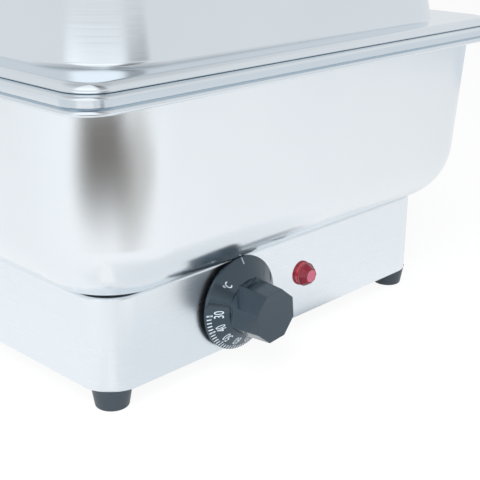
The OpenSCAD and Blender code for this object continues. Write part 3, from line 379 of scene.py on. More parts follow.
# Thermoset moulding of the knob and handle: dark slate, glossy enough to mirror its own edges
KNOB_PLASTIC = Moulded(
    "moulded phenolic", "#1e262c", 0.08, shade="#1b2228",
    bend=1.9, gloss="#d0e9fc", depth=0.0003, rough_span=0.02,
)
# Black nylon of the inlet and lamp body: dull, near black
BLACK_NYLON = Moulded("moulded black nylon", "#23272b", 0.42, shade="#1c2024")
# Moulded rubber of the feet: dull, lighter on its edges
RUBBER = Moulded("moulded rubber", "#3a464f", 0.36, shade="#343f48", grain=0.9, depth=0.003)
# Pad-printed white ink of the dial: flat, slightly uneven
PRINT_INK = Moulded(
    "pad-printed ink", "#dfeaf2", 0.5, shade="#cfdde8", grain=0.4, depth=0.001, scuff=2.0
)
# Red polycarbonate of the lamp's lens: deep red behind a clear gloss
LENS_RED = LensPlastic("red polycarbonate", "#9c0f26", 0.06, shade="#860c20", clear=0.15)
# The middle rib, painted a bright clean red as the glow of the lamp's light that gathers there
LENS_PAINTED_GLOW = LensPlastic("red polycarbonate with painted glow", "#dc0a2c", 0.06, shade="#cc0826", clear=0.1)
# The sloped facets, with painted shade: their colour drifts to a deep dark red that stands for the
# dark of the lamp's body seen through them
LENS_PAINTED_SHADE = LensPlastic(
    "red polycarbonate with painted shade", "#a80f2c", 0.05, shade="#5a0c20", clear=0.2, swirl=4.0
)
# The lens's etched front: a dull pink, its lightness the lamp's light spread through it and the
# bright reflection on its front, painted into the colour
LENS_FRONT = Moulded(
    "etched red polycarbonate with painted glow", "#cf6780", 0.42, shade="#c65d76", grain=0.3, depth=0.002, scuff=3.0
)
# Half-hard brass of blades, tabs and the shaft: yellow, softly bright
BRASS = BrushedSheet("half-hard brass", "#cdaa5c", 0.28, shade="#b8944a", grain=0.5, cloud=8.0)
# Unglazed steatite of the terminal block: cream, with no gloss
CERAMIC = Moulded("unglazed steatite", "#e8e4da", 0.6, shade="#ddd8cb", grain=0.5, scuff=8.0)
# Silicone sleeves of the leads: even colours with a soft sheen
BROWN_SLEEVE = Moulded("brown silicone sleeve", "#7a4a2a", 0.45, shade="#6c4025", grain=0.5)
GREEN_SLEEVE = Moulded("green silicone sleeve", "#5d8a2a", 0.45, shade="#527b24", grain=0.5)
BLUE_SLEEVE = Moulded("blue silicone sleeve", "#3b5f8a", 0.45, shade="#33547c", grain=0.5)

# The finish that each slot has where a node keeps its own shape
SLOT_FINISH: Mapping[Slot, Finish] = {
    Slot.POLISHED: PAN_STEEL,
    Slot.SATIN: SATIN_STEEL,
    Slot.FASTENER: PLATED_STEEL,
    Slot.RUBBER: RUBBER,
    Slot.ALUMINIUM: ALUMINIUM,
    Slot.BLACK: BLACK_NYLON,
    Slot.KNOB: KNOB_PLASTIC,
    Slot.BRASS: BRASS,
    Slot.LENS: LENS_RED,
    Slot.CERAMIC: CERAMIC,
    Slot.BROWN: BROWN_SLEEVE,
    Slot.GREEN: GREEN_SLEEVE,
    Slot.BLUE: BLUE_SLEEVE,
}
NODE_SLOT = {
    entry["node"]: Slot(entry["material_slot"]) for entry in frame["record"]["subparts"]
}


# Work at the bench


@dataclass(frozen=True)
class Outline:
    """A rectangle with round corners, centred on the dish's axis, in mm."""

    width: float
    length: float
    radius: float

    def inset(self, by: float) -> Outline:
        """Returns the outline moved inwards by a distance in mm."""
        return Outline(self.width - 2 * by, self.length - 2 * by, self.radius - by)


def arc(
    centre: Pair, radius: float, start: float, end: float, steps: int = BEND_STEPS
) -> list[Pair]:
    """Gives the points of a bend in a profile.

    Args:
        centre: Centre of the bend: distance in from the outline, and height, in mm.
        radius: Radius in mm.
        start: Angle of the first point in degrees, from the inward direction towards up.
        end: Angle of the last point.
        steps: Number of steps between them.

    Returns:
        The points, from start to end.
    """
    angles = [math.radians(start + (end - start) * i / steps) for i in range(steps + 1)]
    return [(centre[0] + radius * math.cos(a), centre[1] + radius * math.sin(a)) for a in angles]


def clear_bench() -> None:
    """Leaves edit mode and deselects everything."""
    if bpy.context.mode != "OBJECT":
        bpy.ops.object.mode_set(mode="OBJECT")
    bpy.ops.object.select_all(action="DESELECT")


def take(piece: Piece) -> None:
    """Selects a piece alone and makes it the active one.

    Args:
        piece: The piece.
    """
    clear_bench()
    piece.select_set(True)
    bpy.context.view_layer.objects.active = piece


def open_piece(name: str) -> Piece:
    """Names the primitive that was just added and opens it for editing, all of it selected.

    Args:
        name: The piece's name.

    Returns:
        The piece, with its place in its mesh.
    """
    piece = bpy.context.object
    piece.name = piece.data.name = name
    bpy.ops.object.transform_apply(location=True, rotation=True, scale=True)
    bpy.ops.object.mode_set(mode="EDIT")
    bpy.ops.mesh.select_mode(type="FACE")
    bpy.ops.mesh.select_all(action="SELECT")
    return piece


def start_turned(
    name: str, place: Triple, radii: Pair, depth: float, sides: int, turn: float = 0.0
) -> Piece:
    """Starts a piece as a cylinder or cone that faces the front and opens it.

    Args:
        name: The piece's name.
        place: Its middle, in metres.
        radii: Its radius at the back and at the front, in mm.
        depth: Its length in mm.
        sides: Number of its sides.
        turn: Angle about its axis in degrees.

    Returns:
        The piece in edit mode, all of it selected.
    """
    clear_bench()
    bpy.ops.mesh.primitive_cone_add(
        vertices=sides,
        radius1=radii[0] * MM,
        radius2=radii[1] * MM,
        depth=depth * MM,
        location=place,
        rotation=(math.pi / 2, math.radians(-turn), 0.0),
    )
    return open_piece(name)


def round_plane(outline: Outline, z: float) -> None:
    """Stretches the selected unit plane to an outline and rounds its corners.

    Args:
        outline: The outline.
        z: Height of the plane in mm.
    """
    centre = (0.0, 0.0, z * MM)
    size = (outline.width * MM, outline.length * MM, 1.0)
    bpy.ops.transform.resize(value=size, center_override=centre)
    bpy.ops.mesh.bevel(offset=outline.radius * MM, segments=CORNER_STEPS, affect="VERTICES")


def start_outline(name: str, outline: Outline, z: float) -> Piece:
    """Starts a piece as one flat face with round corners and opens it.

    Args:
        name: The piece's name.
        outline: Its first outline.
        z: Height of the face in mm.

    Returns:
        The piece in edit mode, with the face selected.
    """
    clear_bench()
    bpy.ops.mesh.primitive_plane_add(size=1.0, location=(0.0, 0.0, z * MM))
    piece = open_piece(name)
    round_plane(outline, z)
    return piece


def add_outline(outline: Outline, z: float) -> None:
    """Adds another flat face to the open piece, and leaves only that face selected.

    Args:
        outline: The face's outline.
        z: Its height in mm.
    """
    bpy.ops.mesh.select_mode(type="FACE")
    bpy.ops.mesh.select_all(action="DESELECT")
    bpy.ops.mesh.primitive_plane_add(size=1.0, location=(0.0, 0.0, z * MM))
    round_plane(outline, z)


def inset(by: float, rise: float = 0.0) -> None:
    """Insets the selected face by a distance in mm and raises it."""
    bpy.ops.mesh.inset(thickness=by * MM, depth=rise * MM)


def extrude(by: Sequence[float]) -> None:
    """Draws the selected face out along a vector in mm."""
    bpy.ops.mesh.extrude_region_move(TRANSFORM_OT_translate={"value": Vector(by) * MM})


def round_edges(radius: float, steps: int) -> None:
    """Rounds the selected edges with a radius in mm."""
    bpy.ops.mesh.bevel(offset=radius * MM, segments=steps, affect="EDGES")


def follow(points: Sequence[Pair]) -> None:
    """Carries the selected face along a profile, with one inset for each step.

    Args:
        points: Distances in from the outline, and heights, in mm, from the face's own place on.
    """
    for (in_a, z_a), (in_b, z_b) in zip(points, points[1:]):
        inset(max(0.0, in_b - in_a), z_b - z_a)


def drop_face() -> None:
    """Takes the selected face out and keeps its edges."""
    bpy.ops.mesh.delete(type="ONLY_FACE")


def pick(piece: Piece, kind: str, test: Callable[..., bool]) -> None:
    """Selects the faces or edges of the open piece that pass a test, and nothing else.

    Args:
        piece: The open piece.
        kind: FACE or EDGE.
        test: Says whether a face or an edge is selected.
    """
    bpy.ops.mesh.select_mode(type=kind)
    bpy.ops.mesh.select_all(action="DESELECT")
    mesh = bmesh.from_edit_mesh(piece.data)
    for part in mesh.faces if kind == "FACE" else mesh.edges:
        if test(part):
            part.select_set(True)
    bmesh.update_edit_mesh(piece.data)


def pick_end(piece: Piece, facing: Triple) -> None:
    """Selects the flat round end of the open piece that faces a direction.

    Args:
        piece: The open piece.
        facing: The direction.
    """
    way = Vector(facing)
    pick(piece, "FACE", lambda f: f.normal.dot(way) > FLAT and len(f.verts) > QUAD)


def bridge_at(piece: Piece, z: float) -> None:
    """Joins the two open edges of the open piece at a height with a flat ring.

    Args:
        piece: The open piece.
        z: Height of both edges in mm.
    """
    pick(
        piece,
        "EDGE",
        lambda e: len(e.link_faces) < 2 and all(abs(v.co.z - z * MM) < NEAR for v in e.verts),
    )
    bpy.ops.mesh.bridge_edge_loops()


def apply_modifier(piece: Piece, kind: str, **settings: object) -> None:
    """Adds a modifier to a piece and applies it.

    Args:
        piece: The piece.
        kind: The modifier's type.
        **settings: Its settings.
    """
    bpy.context.view_layer.objects.active = piece
    bpy.ops.object.modifier_add(type=kind)
    modifier = piece.modifiers[-1]
    for key, value in settings.items():
        setattr(modifier, key, value)
    bpy.ops.object.modifier_apply(modifier=modifier.name)


def close_mesh() -> None:
    """Merges the open piece's doubles, turns its faces outwards and leaves edit mode."""
    bpy.ops.mesh.select_all(action="SELECT")
    bpy.ops.mesh.remove_doubles(threshold=MERGE)
    bpy.ops.mesh.normals_make_consistent(inside=False)
    bpy.ops.object.mode_set(mode="OBJECT")


def smooth(piece: Piece, angle: float = SHARP) -> Piece:
    """Smooths a piece's bends.

    Args:
        piece: The closed piece.
        angle: Edges sharper than this many degrees stay sharp.

    Returns:
        The piece.
    """
    take(piece)
    bpy.ops.object.shade_smooth_by_angle(angle=math.radians(angle))
    apply_modifier(piece, "WEIGHTED_NORMAL", keep_sharp=True, weight=100)
    return piece


def close_shell(piece: Piece, wall: float) -> Piece:
    """Closes an open shell, gives it its sheet's thickness and smooths it.

    Args:
        piece: The open piece.
        wall: The thickness in mm.

    Returns:
        The piece.
    """
    close_mesh()
    apply_modifier(piece, "SOLIDIFY", thickness=wall * MM, offset=-1.0, use_even_offset=True)
    return smooth(piece)


def cut(piece: Piece, cutter: Piece) -> None:
    """Cuts a shape out of a piece and removes the cutter."""
    apply_modifier(piece, "BOOLEAN", operation="DIFFERENCE", object=cutter, solver="EXACT")
    bpy.data.objects.remove(cutter)


def cut_opening(piece: Piece, outline: Outline, z: float, sheet: float) -> None:
    """Cuts an opening out of a flat sheet.

    Args:
        piece: The closed piece.
        outline: The opening.
        z: Height of the sheet's top in mm.
        sheet: Its thickness.
    """
    cutter = start_outline("opening_cutter", outline, z - 2 * sheet)
    extrude((0.0, 0.0, 3 * sheet))
    close_mesh()
    cut(piece, cutter)


def copy_to(piece: Piece, name: str, shift: Triple) -> Piece:
    """Copies a piece with a mesh of its own.

    Args:
        piece: The finished piece.
        name: The copy's name.
        shift: Where the copy goes from the piece's place, in mm.

    Returns:
        The copy, with its place in its mesh.
    """
    take(piece)
    bpy.ops.object.duplicate()
    twin = bpy.context.object
    twin.name = twin.data.name = name
    twin.location = Vector(shift) * MM
    bpy.ops.object.transform_apply(location=True)
    return twin


def join(pieces: Sequence[Piece], name: str) -> Piece:
    """Joins pieces into one.

    Args:
        pieces: The pieces, of which the first takes in the rest.
        name: Name of the result.

    Returns:
        The joined piece.
    """
    take(pieces[0])
    for piece in pieces:
        piece.select_set(True)
    bpy.ops.object.join()
    pieces[0].name = pieces[0].data.name = name
    return pieces[0]


def settle(
    piece: Piece, body: Body, finish: Finish, nodes: Sequence[str] = ()
) -> Piece:
    """Gives a piece its finish and body, and hides the nodes that it stands for.

    Args:
        piece: The finished piece.
        body: The body that it rides on.
        finish: Its material.
        nodes: The nodes that it replaces.

    Returns:
        The piece.
    """
    piece.data.materials.clear()
    piece.data.materials.append(finish.material())
    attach(piece, body.value)
    if nodes:
        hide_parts(*nodes)
    LOG.info("%s: %d faces, on %s", piece.name, len(piece.data.polygons), body.value)
    return piece


def refit(node: str, name: str, finish: Finish) -> None:
    """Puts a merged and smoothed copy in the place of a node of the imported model.

    Args:
        node: The node's name.
        name: The copy's name.
        finish: Its material.
    """
    packed = frame["nodes"][node]
    piece = bpy.data.objects.new(name, packed.data.copy())
    bpy.context.scene.collection.objects.link(piece)
    take(piece)
    bpy.ops.object.mode_set(mode="EDIT")
    bpy.ops.mesh.select_all(action="SELECT")
    bpy.ops.mesh.remove_doubles(threshold=NEAR)
    bpy.ops.object.mode_set(mode="OBJECT")
    settle(smooth(piece), Body(packed["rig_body"]), finish, [node])


# Sub-assemblies


@dataclass
class BaseBox:
    """The box under the pan, with its control panel, floor and feet."""

    outline: Outline = Outline(280.0, 485.0, 21.0)
    bottom: float = 13.0
    top: float = 67.0
    edge: float = 1.5
    sheet: float = 1.0
    opening: Outline = Outline(227.6, 432.6, 9.5)
    front: float = PANEL_Y
    knob_at: Pair = KNOB_AT
    knob_hole: float = 5.15
    lamp_at: Pair = LAMP_AT
    lamp_hole: float = 5.15
    hole_sides: int = 48
    inlet_at: Pair = (70.0, 42.0)
    inlet_hole: Pair = (28.3, 20.3)
    foot_at: Pair = (126.0, 228.5)
    foot_top: float = 11.6
    foot_bottom: float = 9.4
    foot_round: float = 0.8
    foot_pocket: Pair = (4.8, 8.0)
    foot_sides: int = 64

    def build(self) -> None:
        """Builds and dresses the box and what is under it."""
        settle(self.housing(), Body.BASE, BOX_STEEL, ["base_housing"])
        for node, foot in self.feet().items():
            settle(foot, Body.BASE, RUBBER, [node])
        refit("base_floor", "floor_plate", SATIN_STEEL)
        for node in ("floor_screws", "foot_screws"):
            refit(node, f"{node}_turned", PLATED_STEEL)

    def housing(self) -> Piece:
        """Makes the bent sheet box with its opening and holes.

        Returns:
            The box.
        """
        piece = start_outline("housing_shell", self.outline, self.bottom)
        bend = arc((self.edge, self.top - self.edge), self.edge, 180.0, 90.0, SMALL_BEND_STEPS)
        follow([(0.0, self.bottom), *bend])
        close_shell(piece, self.sheet)
        cut_opening(piece, self.opening, self.top, self.sheet)
        for cutter in self.cutters():
            cut(piece, cutter)
        return smooth(piece)

    def cutters(self) -> list[Piece]:
        """Makes the shapes of the holes for the shaft, the lamp and the inlet.

        Returns:
            The shapes.
        """
        made = []
        through = 6 * self.sheet * MM
        for (x, z), radius in ((self.knob_at, self.knob_hole), (self.lamp_at, self.lamp_hole)):
            clear_bench()
            bpy.ops.mesh.primitive_cylinder_add(
                vertices=self.hole_sides,
                radius=radius * MM,
                depth=through,
                location=(x * MM, self.front * MM, z * MM),
                rotation=(math.pi / 2, 0.0, 0.0),
            )
            made.append(bpy.context.object)
        clear_bench()
        x, z = self.inlet_at
        width, height = self.inlet_hole
        bpy.ops.mesh.primitive_cube_add(
            size=1.0,
            location=(x * MM, -self.front * MM, z * MM),
            scale=(width * MM, through, height * MM),
        )
        made.append(bpy.context.object)
        return made

    def feet(self) -> dict[str, Piece]:
        """Makes the four feet.

        Returns:
            The feet under the names of their nodes.
        """
        x, y = self.foot_at
        first = self.foot(-x, -y)
        places = {
            "foot_front_right": (2 * x, 0.0, 0.0),
            "foot_rear_left": (0.0, 2 * y, 0.0),
            "foot_rear_right": (2 * x, 2 * y, 0.0),
        }
        made = {"foot_front_left": first}
        for node, shift in places.items():
            made[node] = copy_to(first, f"rubber_{node}", shift)
        return made

    def foot(self, x: float, y: float) -> Piece:
        """Makes one tapered foot with a rounded tread and a pocket for its screw.

        Args:
            x: Place of its axis across the dish in mm.
            y: Place of its axis along the dish.

        Returns:
            The foot.
        """
        clear_bench()
        bpy.ops.mesh.primitive_cone_add(
            vertices=self.foot_sides,
            radius1=self.foot_bottom * MM,
            radius2=self.foot_top * MM,
            depth=self.bottom * MM,
            location=(x * MM, y * MM, self.bottom / 2 * MM),
        )
        piece = open_piece("rubber_foot_front_left")
        pick(piece, "EDGE", lambda e: all(v.co.z < NEAR for v in e.verts))
        round_edges(self.foot_round, SMALL_BEND_STEPS)
        pick_end(piece, (0.0, 0.0, -1.0))
        tread = next(f for f in bmesh.from_edit_mesh(piece.data).faces if f.select)
        flat = max((v.co.xy - Vector((x, y)) * MM).length for v in tread.verts)
        radius, depth = self.foot_pocket
        inset(flat / MM - radius)
        inset(0.0, -depth)
        close_mesh()
        return smooth(piece)


@dataclass
class Pans:
    """The water pan, the frame round its edge and the food pan that hangs in it."""

    pan_outline: Outline = Outline(345.8, 550.8, 58.0)
    pan_top: float = 181.5
    pan_bottom: float = 67.0
    pan_lean: float = 3.77
    pan_bend: float = 38.0
    pan_sheet: float = 1.0
    rim_outline: Outline = Outline(348.8, 553.8, 18.0)
    rim_top: float = 182.4
    rim_bottom: float = 173.4
    rim_edge: float = 1.5
    rim_sheet: float = 0.9
    rim_opening: Outline = Outline(312.0, 517.0, 51.0)
    bead_height: float = 3.0
    bead_out: float = 0.7
    crease: Pair = (1.75, 1.4)
    flange: Outline = Outline(325.0, 530.0, 20.0)
    mouth: Outline = Outline(300.4, 505.4, 45.2)
    flange_top: float = 183.2
    food_bottom: float = 119.0
    food_lean: float = 4.0
    food_bend: float = 21.2
    food_lip: float = 2.0
    food_sheet: float = 0.8

    def build(self) -> None:
        """Builds and dresses the pans and the frame."""
        settle(self.water_pan(), Body.BASE, PAN_STEEL, ["water_pan"])
        settle(self.rim(), Body.BASE, LID_STEEL, ["rim_frame"])
        settle(self.food_pan(), Body.BASE, PAN_STEEL, ["food_pan"])

    @staticmethod
    def drawn(
        top: float, bottom: float, lean: float, bend: float, start: float = 0.0
    ) -> list[Pair]:
        """Gives the profile of a drawn pan, from its edge down its leaning wall to its flat bottom.

        Args:
            top: Height where the wall starts, in mm.
            bottom: Height of the bottom.
            lean: Lean of the wall in degrees.
            bend: Radius between wall and bottom.
            start: Distance in from the outline where the wall starts.

        Returns:
            The profile's points.
        """
        slope = math.tan(math.radians(lean))
        centre = bottom + bend
        across = start + (top - centre) * slope + bend / math.cos(math.radians(lean))
        return [(start, top), *arc((across, centre), bend, 180.0 + lean, 270.0)]

    def water_pan(self) -> Piece:
        """Makes the deep-drawn pan.

        Returns:
            The pan.
        """
        piece = start_outline("water_pan_shell", self.pan_outline, self.pan_top)
        follow(self.drawn(self.pan_top, self.pan_bottom, self.pan_lean, self.pan_bend))
        return close_shell(piece, self.pan_sheet)

    def rim(self) -> Piece:
        """Makes the frame with its bead, the crease above it, a bent edge and a flat ledge.

        Returns:
            The frame.
        """
        half = self.bead_height / 2
        middle = self.rim_bottom + half
        widest = self.rim_outline.inset(-self.bead_out)
        piece = start_outline("rim_band", widest, middle)
        reach = math.degrees(math.acos((half - self.bead_out) / half))
        upper = arc((half, middle), half, 180.0, 180.0 - reach, SMALL_BEND_STEPS)
        depth, height = self.crease
        crease_z = upper[-1][1] + height / 2
        face = [(self.bead_out, crease_z), (self.bead_out, upper[-1][1] + height)]
        corner = (self.bead_out + self.rim_edge, self.rim_top - self.rim_edge)
        follow([*upper, *face, *arc(corner, self.rim_edge, 180.0, 90.0, SMALL_BEND_STEPS)])
        pick(piece, "EDGE", lambda e: all(abs(v.co.z - crease_z * MM) < NEAR for v in e.verts))
        shrink = (2 * depth / self.rim_outline.width, 2 * depth / self.rim_outline.length)
        bpy.ops.transform.resize(
            value=(1 - shrink[0], 1 - shrink[1], 1.0), center_override=(0.0, 0.0, crease_z * MM)
        )
        add_outline(widest, middle)
        follow(arc((half, middle), half, 180.0, 180.0 + reach, SMALL_BEND_STEPS))
        drop_face()
        close_shell(piece, self.rim_sheet)
        cut_opening(piece, self.rim_opening, self.rim_top, self.rim_sheet)
        return smooth(piece)

    def food_pan(self) -> Piece:
        """Makes the food pan with its flat flange and rounded mouth.

        Returns:
            The pan.
        """
        piece = start_outline("food_pan_shell", self.flange, self.flange_top)
        drop_face()
        add_outline(self.mouth.inset(-self.food_lip), self.flange_top)
        lip_z = self.flange_top - self.food_lip
        lip = arc((0.0, lip_z), self.food_lip, 90.0, self.food_lean, SMALL_BEND_STEPS)
        wall = self.drawn(lip[-1][1], self.food_bottom, self.food_lean, self.food_bend, lip[-1][0])
        follow([*lip, *wall[1:]])
        bridge_at(piece, self.flange_top)
        return close_shell(piece, self.food_sheet)


@dataclass
class Lid:
    """The domed lid with its handle."""

    outline: Outline = Outline(340.0, 545.0, 18.0)
    edge_z: float = 182.65
    lip: float = 0.2
    roll: float = 4.5
    tuck: float = 0.8
    sheet: float = 0.8
    dome: Outline = Outline(304.0, 509.0, 47.0)
    dome_foot: float = 186.6
    dome_top: float = 272.4
    draft: float = 12.0
    dome_bend: float = 30.0
    foot_fillet: float = 3.0
    handle_x: float = -82.0
    handle_half: float = 60.0
    handle_foot: float = 274.9
    handle_axis: float = 308.4
    handle_radius: float = 8.0
    handle_bend: float = 16.0
    handle_sides: int = 48
    handle_steps: int = 12

    def build(self) -> None:
        """Builds and dresses the lid and its handle."""
        settle(self.shell(), Body.LID, LID_STEEL, ["lid"])
        settle(self.handle(), Body.LID, KNOB_PLASTIC, ["lid_handle"])
        refit("handle_collars", "turned_collars", LID_STEEL)
        refit("handle_screws", "handle_screws_turned", PLATED_STEEL)

    def shell(self) -> Piece:
        """Makes the pressed lid: tucked edge, rolled skirt, flat shoulder, filleted foot and dome.

        Returns:
            The lid.
        """
        shoulder = self.edge_z + self.roll
        widest = self.edge_z - self.lip + self.tuck
        first = 180.0 - math.degrees(math.asin((widest - self.edge_z) / self.roll))
        skirt = arc((self.roll, self.edge_z), self.roll, first, 90.0, SMALL_BEND_STEPS + 2)
        outline = self.outline.inset(skirt[0][0])
        piece = start_outline("lid_shell", outline, widest)
        follow(arc((self.tuck, widest), self.tuck, 180.0, 270.0, SMALL_BEND_STEPS))
        drop_face()
        add_outline(outline, widest)
        follow(skirt)
        drop_face()
        slope = math.tan(math.radians(self.draft))
        lean = math.cos(math.radians(self.draft))
        fillet_z = shoulder + self.foot_fillet
        fillet_in = (fillet_z - self.dome_foot) * slope - self.foot_fillet / lean
        bend_z = self.dome_top - self.dome_bend
        bend_in = (bend_z - self.dome_foot) * slope + self.dome_bend / lean
        fillet = arc((0.0, fillet_z), self.foot_fillet, -90.0, -self.draft, SMALL_BEND_STEPS)
        bend = arc((bend_in - fillet_in, bend_z), self.dome_bend, 180.0 - self.draft, 90.0)
        add_outline(self.dome.inset(fillet_in), shoulder)
        follow([*fillet, *bend])
        bridge_at(piece, shoulder)
        return close_shell(piece, self.sheet)

    def handle(self) -> Piece:
        """Makes the bow handle, drawn up, round, along and down from one leg to the other.

        Returns:
            The handle.
        """
        clear_bench()
        x = self.handle_x * MM
        bend_z = self.handle_axis - self.handle_bend
        bend_y = self.handle_half - self.handle_bend
        bpy.ops.mesh.primitive_circle_add(
            vertices=self.handle_sides,
            radius=self.handle_radius * MM,
            fill_type="NGON",
            location=(x, -self.handle_half * MM, self.handle_foot * MM),
        )
        piece = open_piece("bow_handle")
        rise = bend_z - self.handle_foot
        extrude((0.0, 0.0, rise))
        for side, ahead in ((-1.0, (0.0, 2 * bend_y, 0.0)), (1.0, (0.0, 0.0, -rise))):
            bpy.ops.mesh.spin(
                steps=self.handle_steps,
                angle=math.pi / 2,
                center=(x, side * bend_y * MM, bend_z * MM),
                axis=(1.0, 0.0, 0.0),
            )
            extrude(ahead)
        close_mesh()
        return smooth(piece)


@dataclass
class Knob:
    """The control knob: a sloped dial with its print, and an eight-sided grip."""

    at: Pair = KNOB_AT
    back: float = -245.1
    edge: float = -246.6
    nose: float = -274.0
    dial_radius: float = 28.2
    dial_round: float = 0.5
    dial_sides: int = 128
    dial_sharp: float = 28.0
    rise: Pair = (16.63, 7.2)
    dial_rim: float = 2.0
    hollow: float = 1.2
    grip_root: float = 18.0
    grip_radius: float = 15.9
    grip_turn: float = 28.3
    grip_round: float = 0.3
    grip_sides: int = 8
    grip_sharp: float = 50.0
    ink: float = 0.04
    ink_root: float = 0.08
    first_mark: float = 180.2
    mark_step: float = 24.1
    marks: Sequence[str] = ("30", "40", "50", "60", "70", "80", "90")
    fine_steps: int = 5
    long_mark: Triple = (24.9, 27.9, 0.9)
    fine_mark: Triple = (25.5, 27.9, 0.7)
    off_mark: Triple = (24.6, 27.9, 0.75)
    off_angle: float = 90.0
    figure_radius: float = 21.8
    figure_size: Pair = (4.4, 5.9)
    figure_lag: float = -1.2
    figure_depth: float = 0.5
    unit: str = "\N{DEGREE SIGN}C"
    unit_angle: float = 133.6
    unit_size: Pair = (3.7, 5.0)

    def build(self) -> None:
        """Builds and dresses the knob and its print."""
        body = join([self.dial(), self.grip()], "knob_body")
        settle(body, Body.KNOB, KNOB_PLASTIC, ["control_knob"])
        settle(self.printing(), Body.KNOB, PRINT_INK)

    def axis_at(self, y: float) -> Triple:
        """Returns the point of the knob's axis at a y in mm, in metres."""
        return self.at[0] * MM, y * MM, self.at[1] * MM

    def slope(self) -> float:
        """Returns how steeply the dial rises towards its axis."""
        return self.rise[1] / (self.dial_radius - self.rise[0])

    def dial(self) -> Piece:
        """Makes the dial: a round edge, a slope up to the grip and a hollow back.

        Returns:
            The dial.
        """
        place = self.axis_at((self.back + self.edge) / 2)
        radii = (self.dial_radius, self.dial_radius)
        piece = start_turned("dial_disc", place, radii, self.back - self.edge, self.dial_sides)
        pick_end(piece, (0.0, -1.0, 0.0))
        top, height = self.rise
        inset(self.dial_radius - top, height)
        pick(piece, "EDGE", lambda e: all(abs(v.co.y - self.edge * MM) < MERGE for v in e.verts))
        round_edges(self.dial_round, steps=4)
        pick_end(piece, (0.0, 1.0, 0.0))
        inset(self.dial_rim)
        inset(0.0, -self.hollow)
        close_mesh()
        return smooth(piece, self.dial_sharp)

    def grip(self) -> Piece:
        """Makes the eight-sided grip, narrower at its nose, with softened edges.

        Returns:
            The grip.
        """
        root = (self.edge + self.back) / 2
        place = self.axis_at((root + self.nose) / 2)
        radii = (self.grip_root, self.grip_radius)
        piece = start_turned(
            "grip_block", place, radii, root - self.nose, self.grip_sides, self.grip_turn
        )
        round_edges(self.grip_round, steps=3)
        close_mesh()
        return smooth(piece, self.grip_sharp)

    def printing(self) -> Piece:
        """Makes the dial's print: its marks, numbers and unit, a film on the slope.

        Returns:
            The print.
        """
        count = len(self.marks)
        fine = (count - 1) * self.fine_steps + 1
        fine_step = self.mark_step / self.fine_steps
        parts = [
            self.strokes("long_marks", self.long_mark, self.first_mark, count, self.mark_step),
            self.strokes("fine_marks", self.fine_mark, self.first_mark, fine, fine_step),
            self.strokes("off_mark", self.off_mark, self.off_angle, 1, 0.0),
            self.figure(self.unit, self.unit_angle, self.unit_size),
        ]
        for i, mark in enumerate(self.marks):
            angle = self.first_mark + i * self.mark_step + self.figure_lag
            parts.append(self.figure(mark, angle, self.figure_size))
        return join(parts, "dial_print")

    def on_slope(self, radius: float, angle: float) -> Matrix:
        """Gives the frame of a print on the dial, whose up runs out along the slope.

        Args:
            radius: Distance from the knob's axis in mm.
            angle: Angle round the axis in degrees, from the right, rising.

        Returns:
            The frame.
        """
        turn = math.radians(angle)
        x = self.at[0] + radius * math.cos(turn)
        y = self.edge - (self.dial_radius - radius) * self.slope()
        z = self.at[1] + radius * math.sin(turn)
        upright = Matrix.Rotation(math.pi / 2, 4, "X")
        round_axis = Matrix.Rotation(turn - math.pi / 2, 4, "Z")
        lean = Matrix.Rotation(-math.atan(self.slope()), 4, "X")
        return Matrix.Translation(Vector((x, y, z)) * MM) @ upright @ round_axis @ lean

    def strokes(self, name: str, size: Triple, first: float, count: int, step: float) -> Piece:
        """Makes one printed stroke and spins copies of it round the dial.

        Args:
            name: The piece's name.
            size: Inner radius, outer radius and width in mm.
            first: Angle of the first stroke in degrees.
            count: Number of strokes.
            step: Angle from one to the next.

        Returns:
            The strokes as one piece.
        """
        inner, outer, width = size
        here = self.on_slope((inner + outer) / 2, first)
        length = math.hypot(outer - inner, (outer - inner) * self.slope())
        clear_bench()
        bpy.ops.mesh.primitive_plane_add(size=1.0)
        stroke = bpy.context.object
        stroke.matrix_world = here @ Matrix.Diagonal((width * MM, length * MM, 1.0, 1.0))
        piece = open_piece(name)
        extrude(here.to_3x3() @ Vector((0.0, 0.0, self.ink)))
        bpy.ops.mesh.select_all(action="SELECT")
        if count > 1:
            bpy.ops.mesh.spin(
                steps=count - 1,
                dupli=True,
                angle=math.radians(step * (count - 1)),
                center=self.axis_at(self.edge),
                axis=(0.0, 1.0, 0.0),
            )
        close_mesh()
        return piece

    def figure(self, words: str, angle: float, block: Pair) -> Piece:
        """Makes a printed figure, as narrow as the dial's print, centred at an angle of the dial.

        Args:
            words: What is printed.
            angle: Angle round the axis in degrees.
            block: Width and height of the print in mm.

        Returns:
            The figure, a film that reaches down to the slope.
        """
        clear_bench()
        bpy.ops.object.text_add()
        text = bpy.context.object
        text.data.body = words
        text.data.align_x = text.data.align_y = "CENTER"
        text.data.extrude = self.figure_depth
        bpy.ops.object.convert(target="MESH")
        piece = bpy.context.object
        corners = [Vector(c) for c in piece.bound_box]
        low = Vector(min(c[i] for c in corners) for i in range(3))
        high = Vector(max(c[i] for c in corners) for i in range(3))
        size = Vector((*block, self.ink + self.ink_root)) * MM
        fit = Matrix.Diagonal((*(size[i] / (high[i] - low[i]) for i in range(3)), 1.0))
        middle = Matrix.Translation(-(low + high) / 2)
        lift = Matrix.Translation((0.0, 0.0, (self.ink - self.ink_root) / 2 * MM))
        piece.matrix_world = self.on_slope(self.figure_radius, angle) @ lift @ fit @ middle
        bpy.ops.object.transform_apply(location=True, rotation=True, scale=True)
        return piece


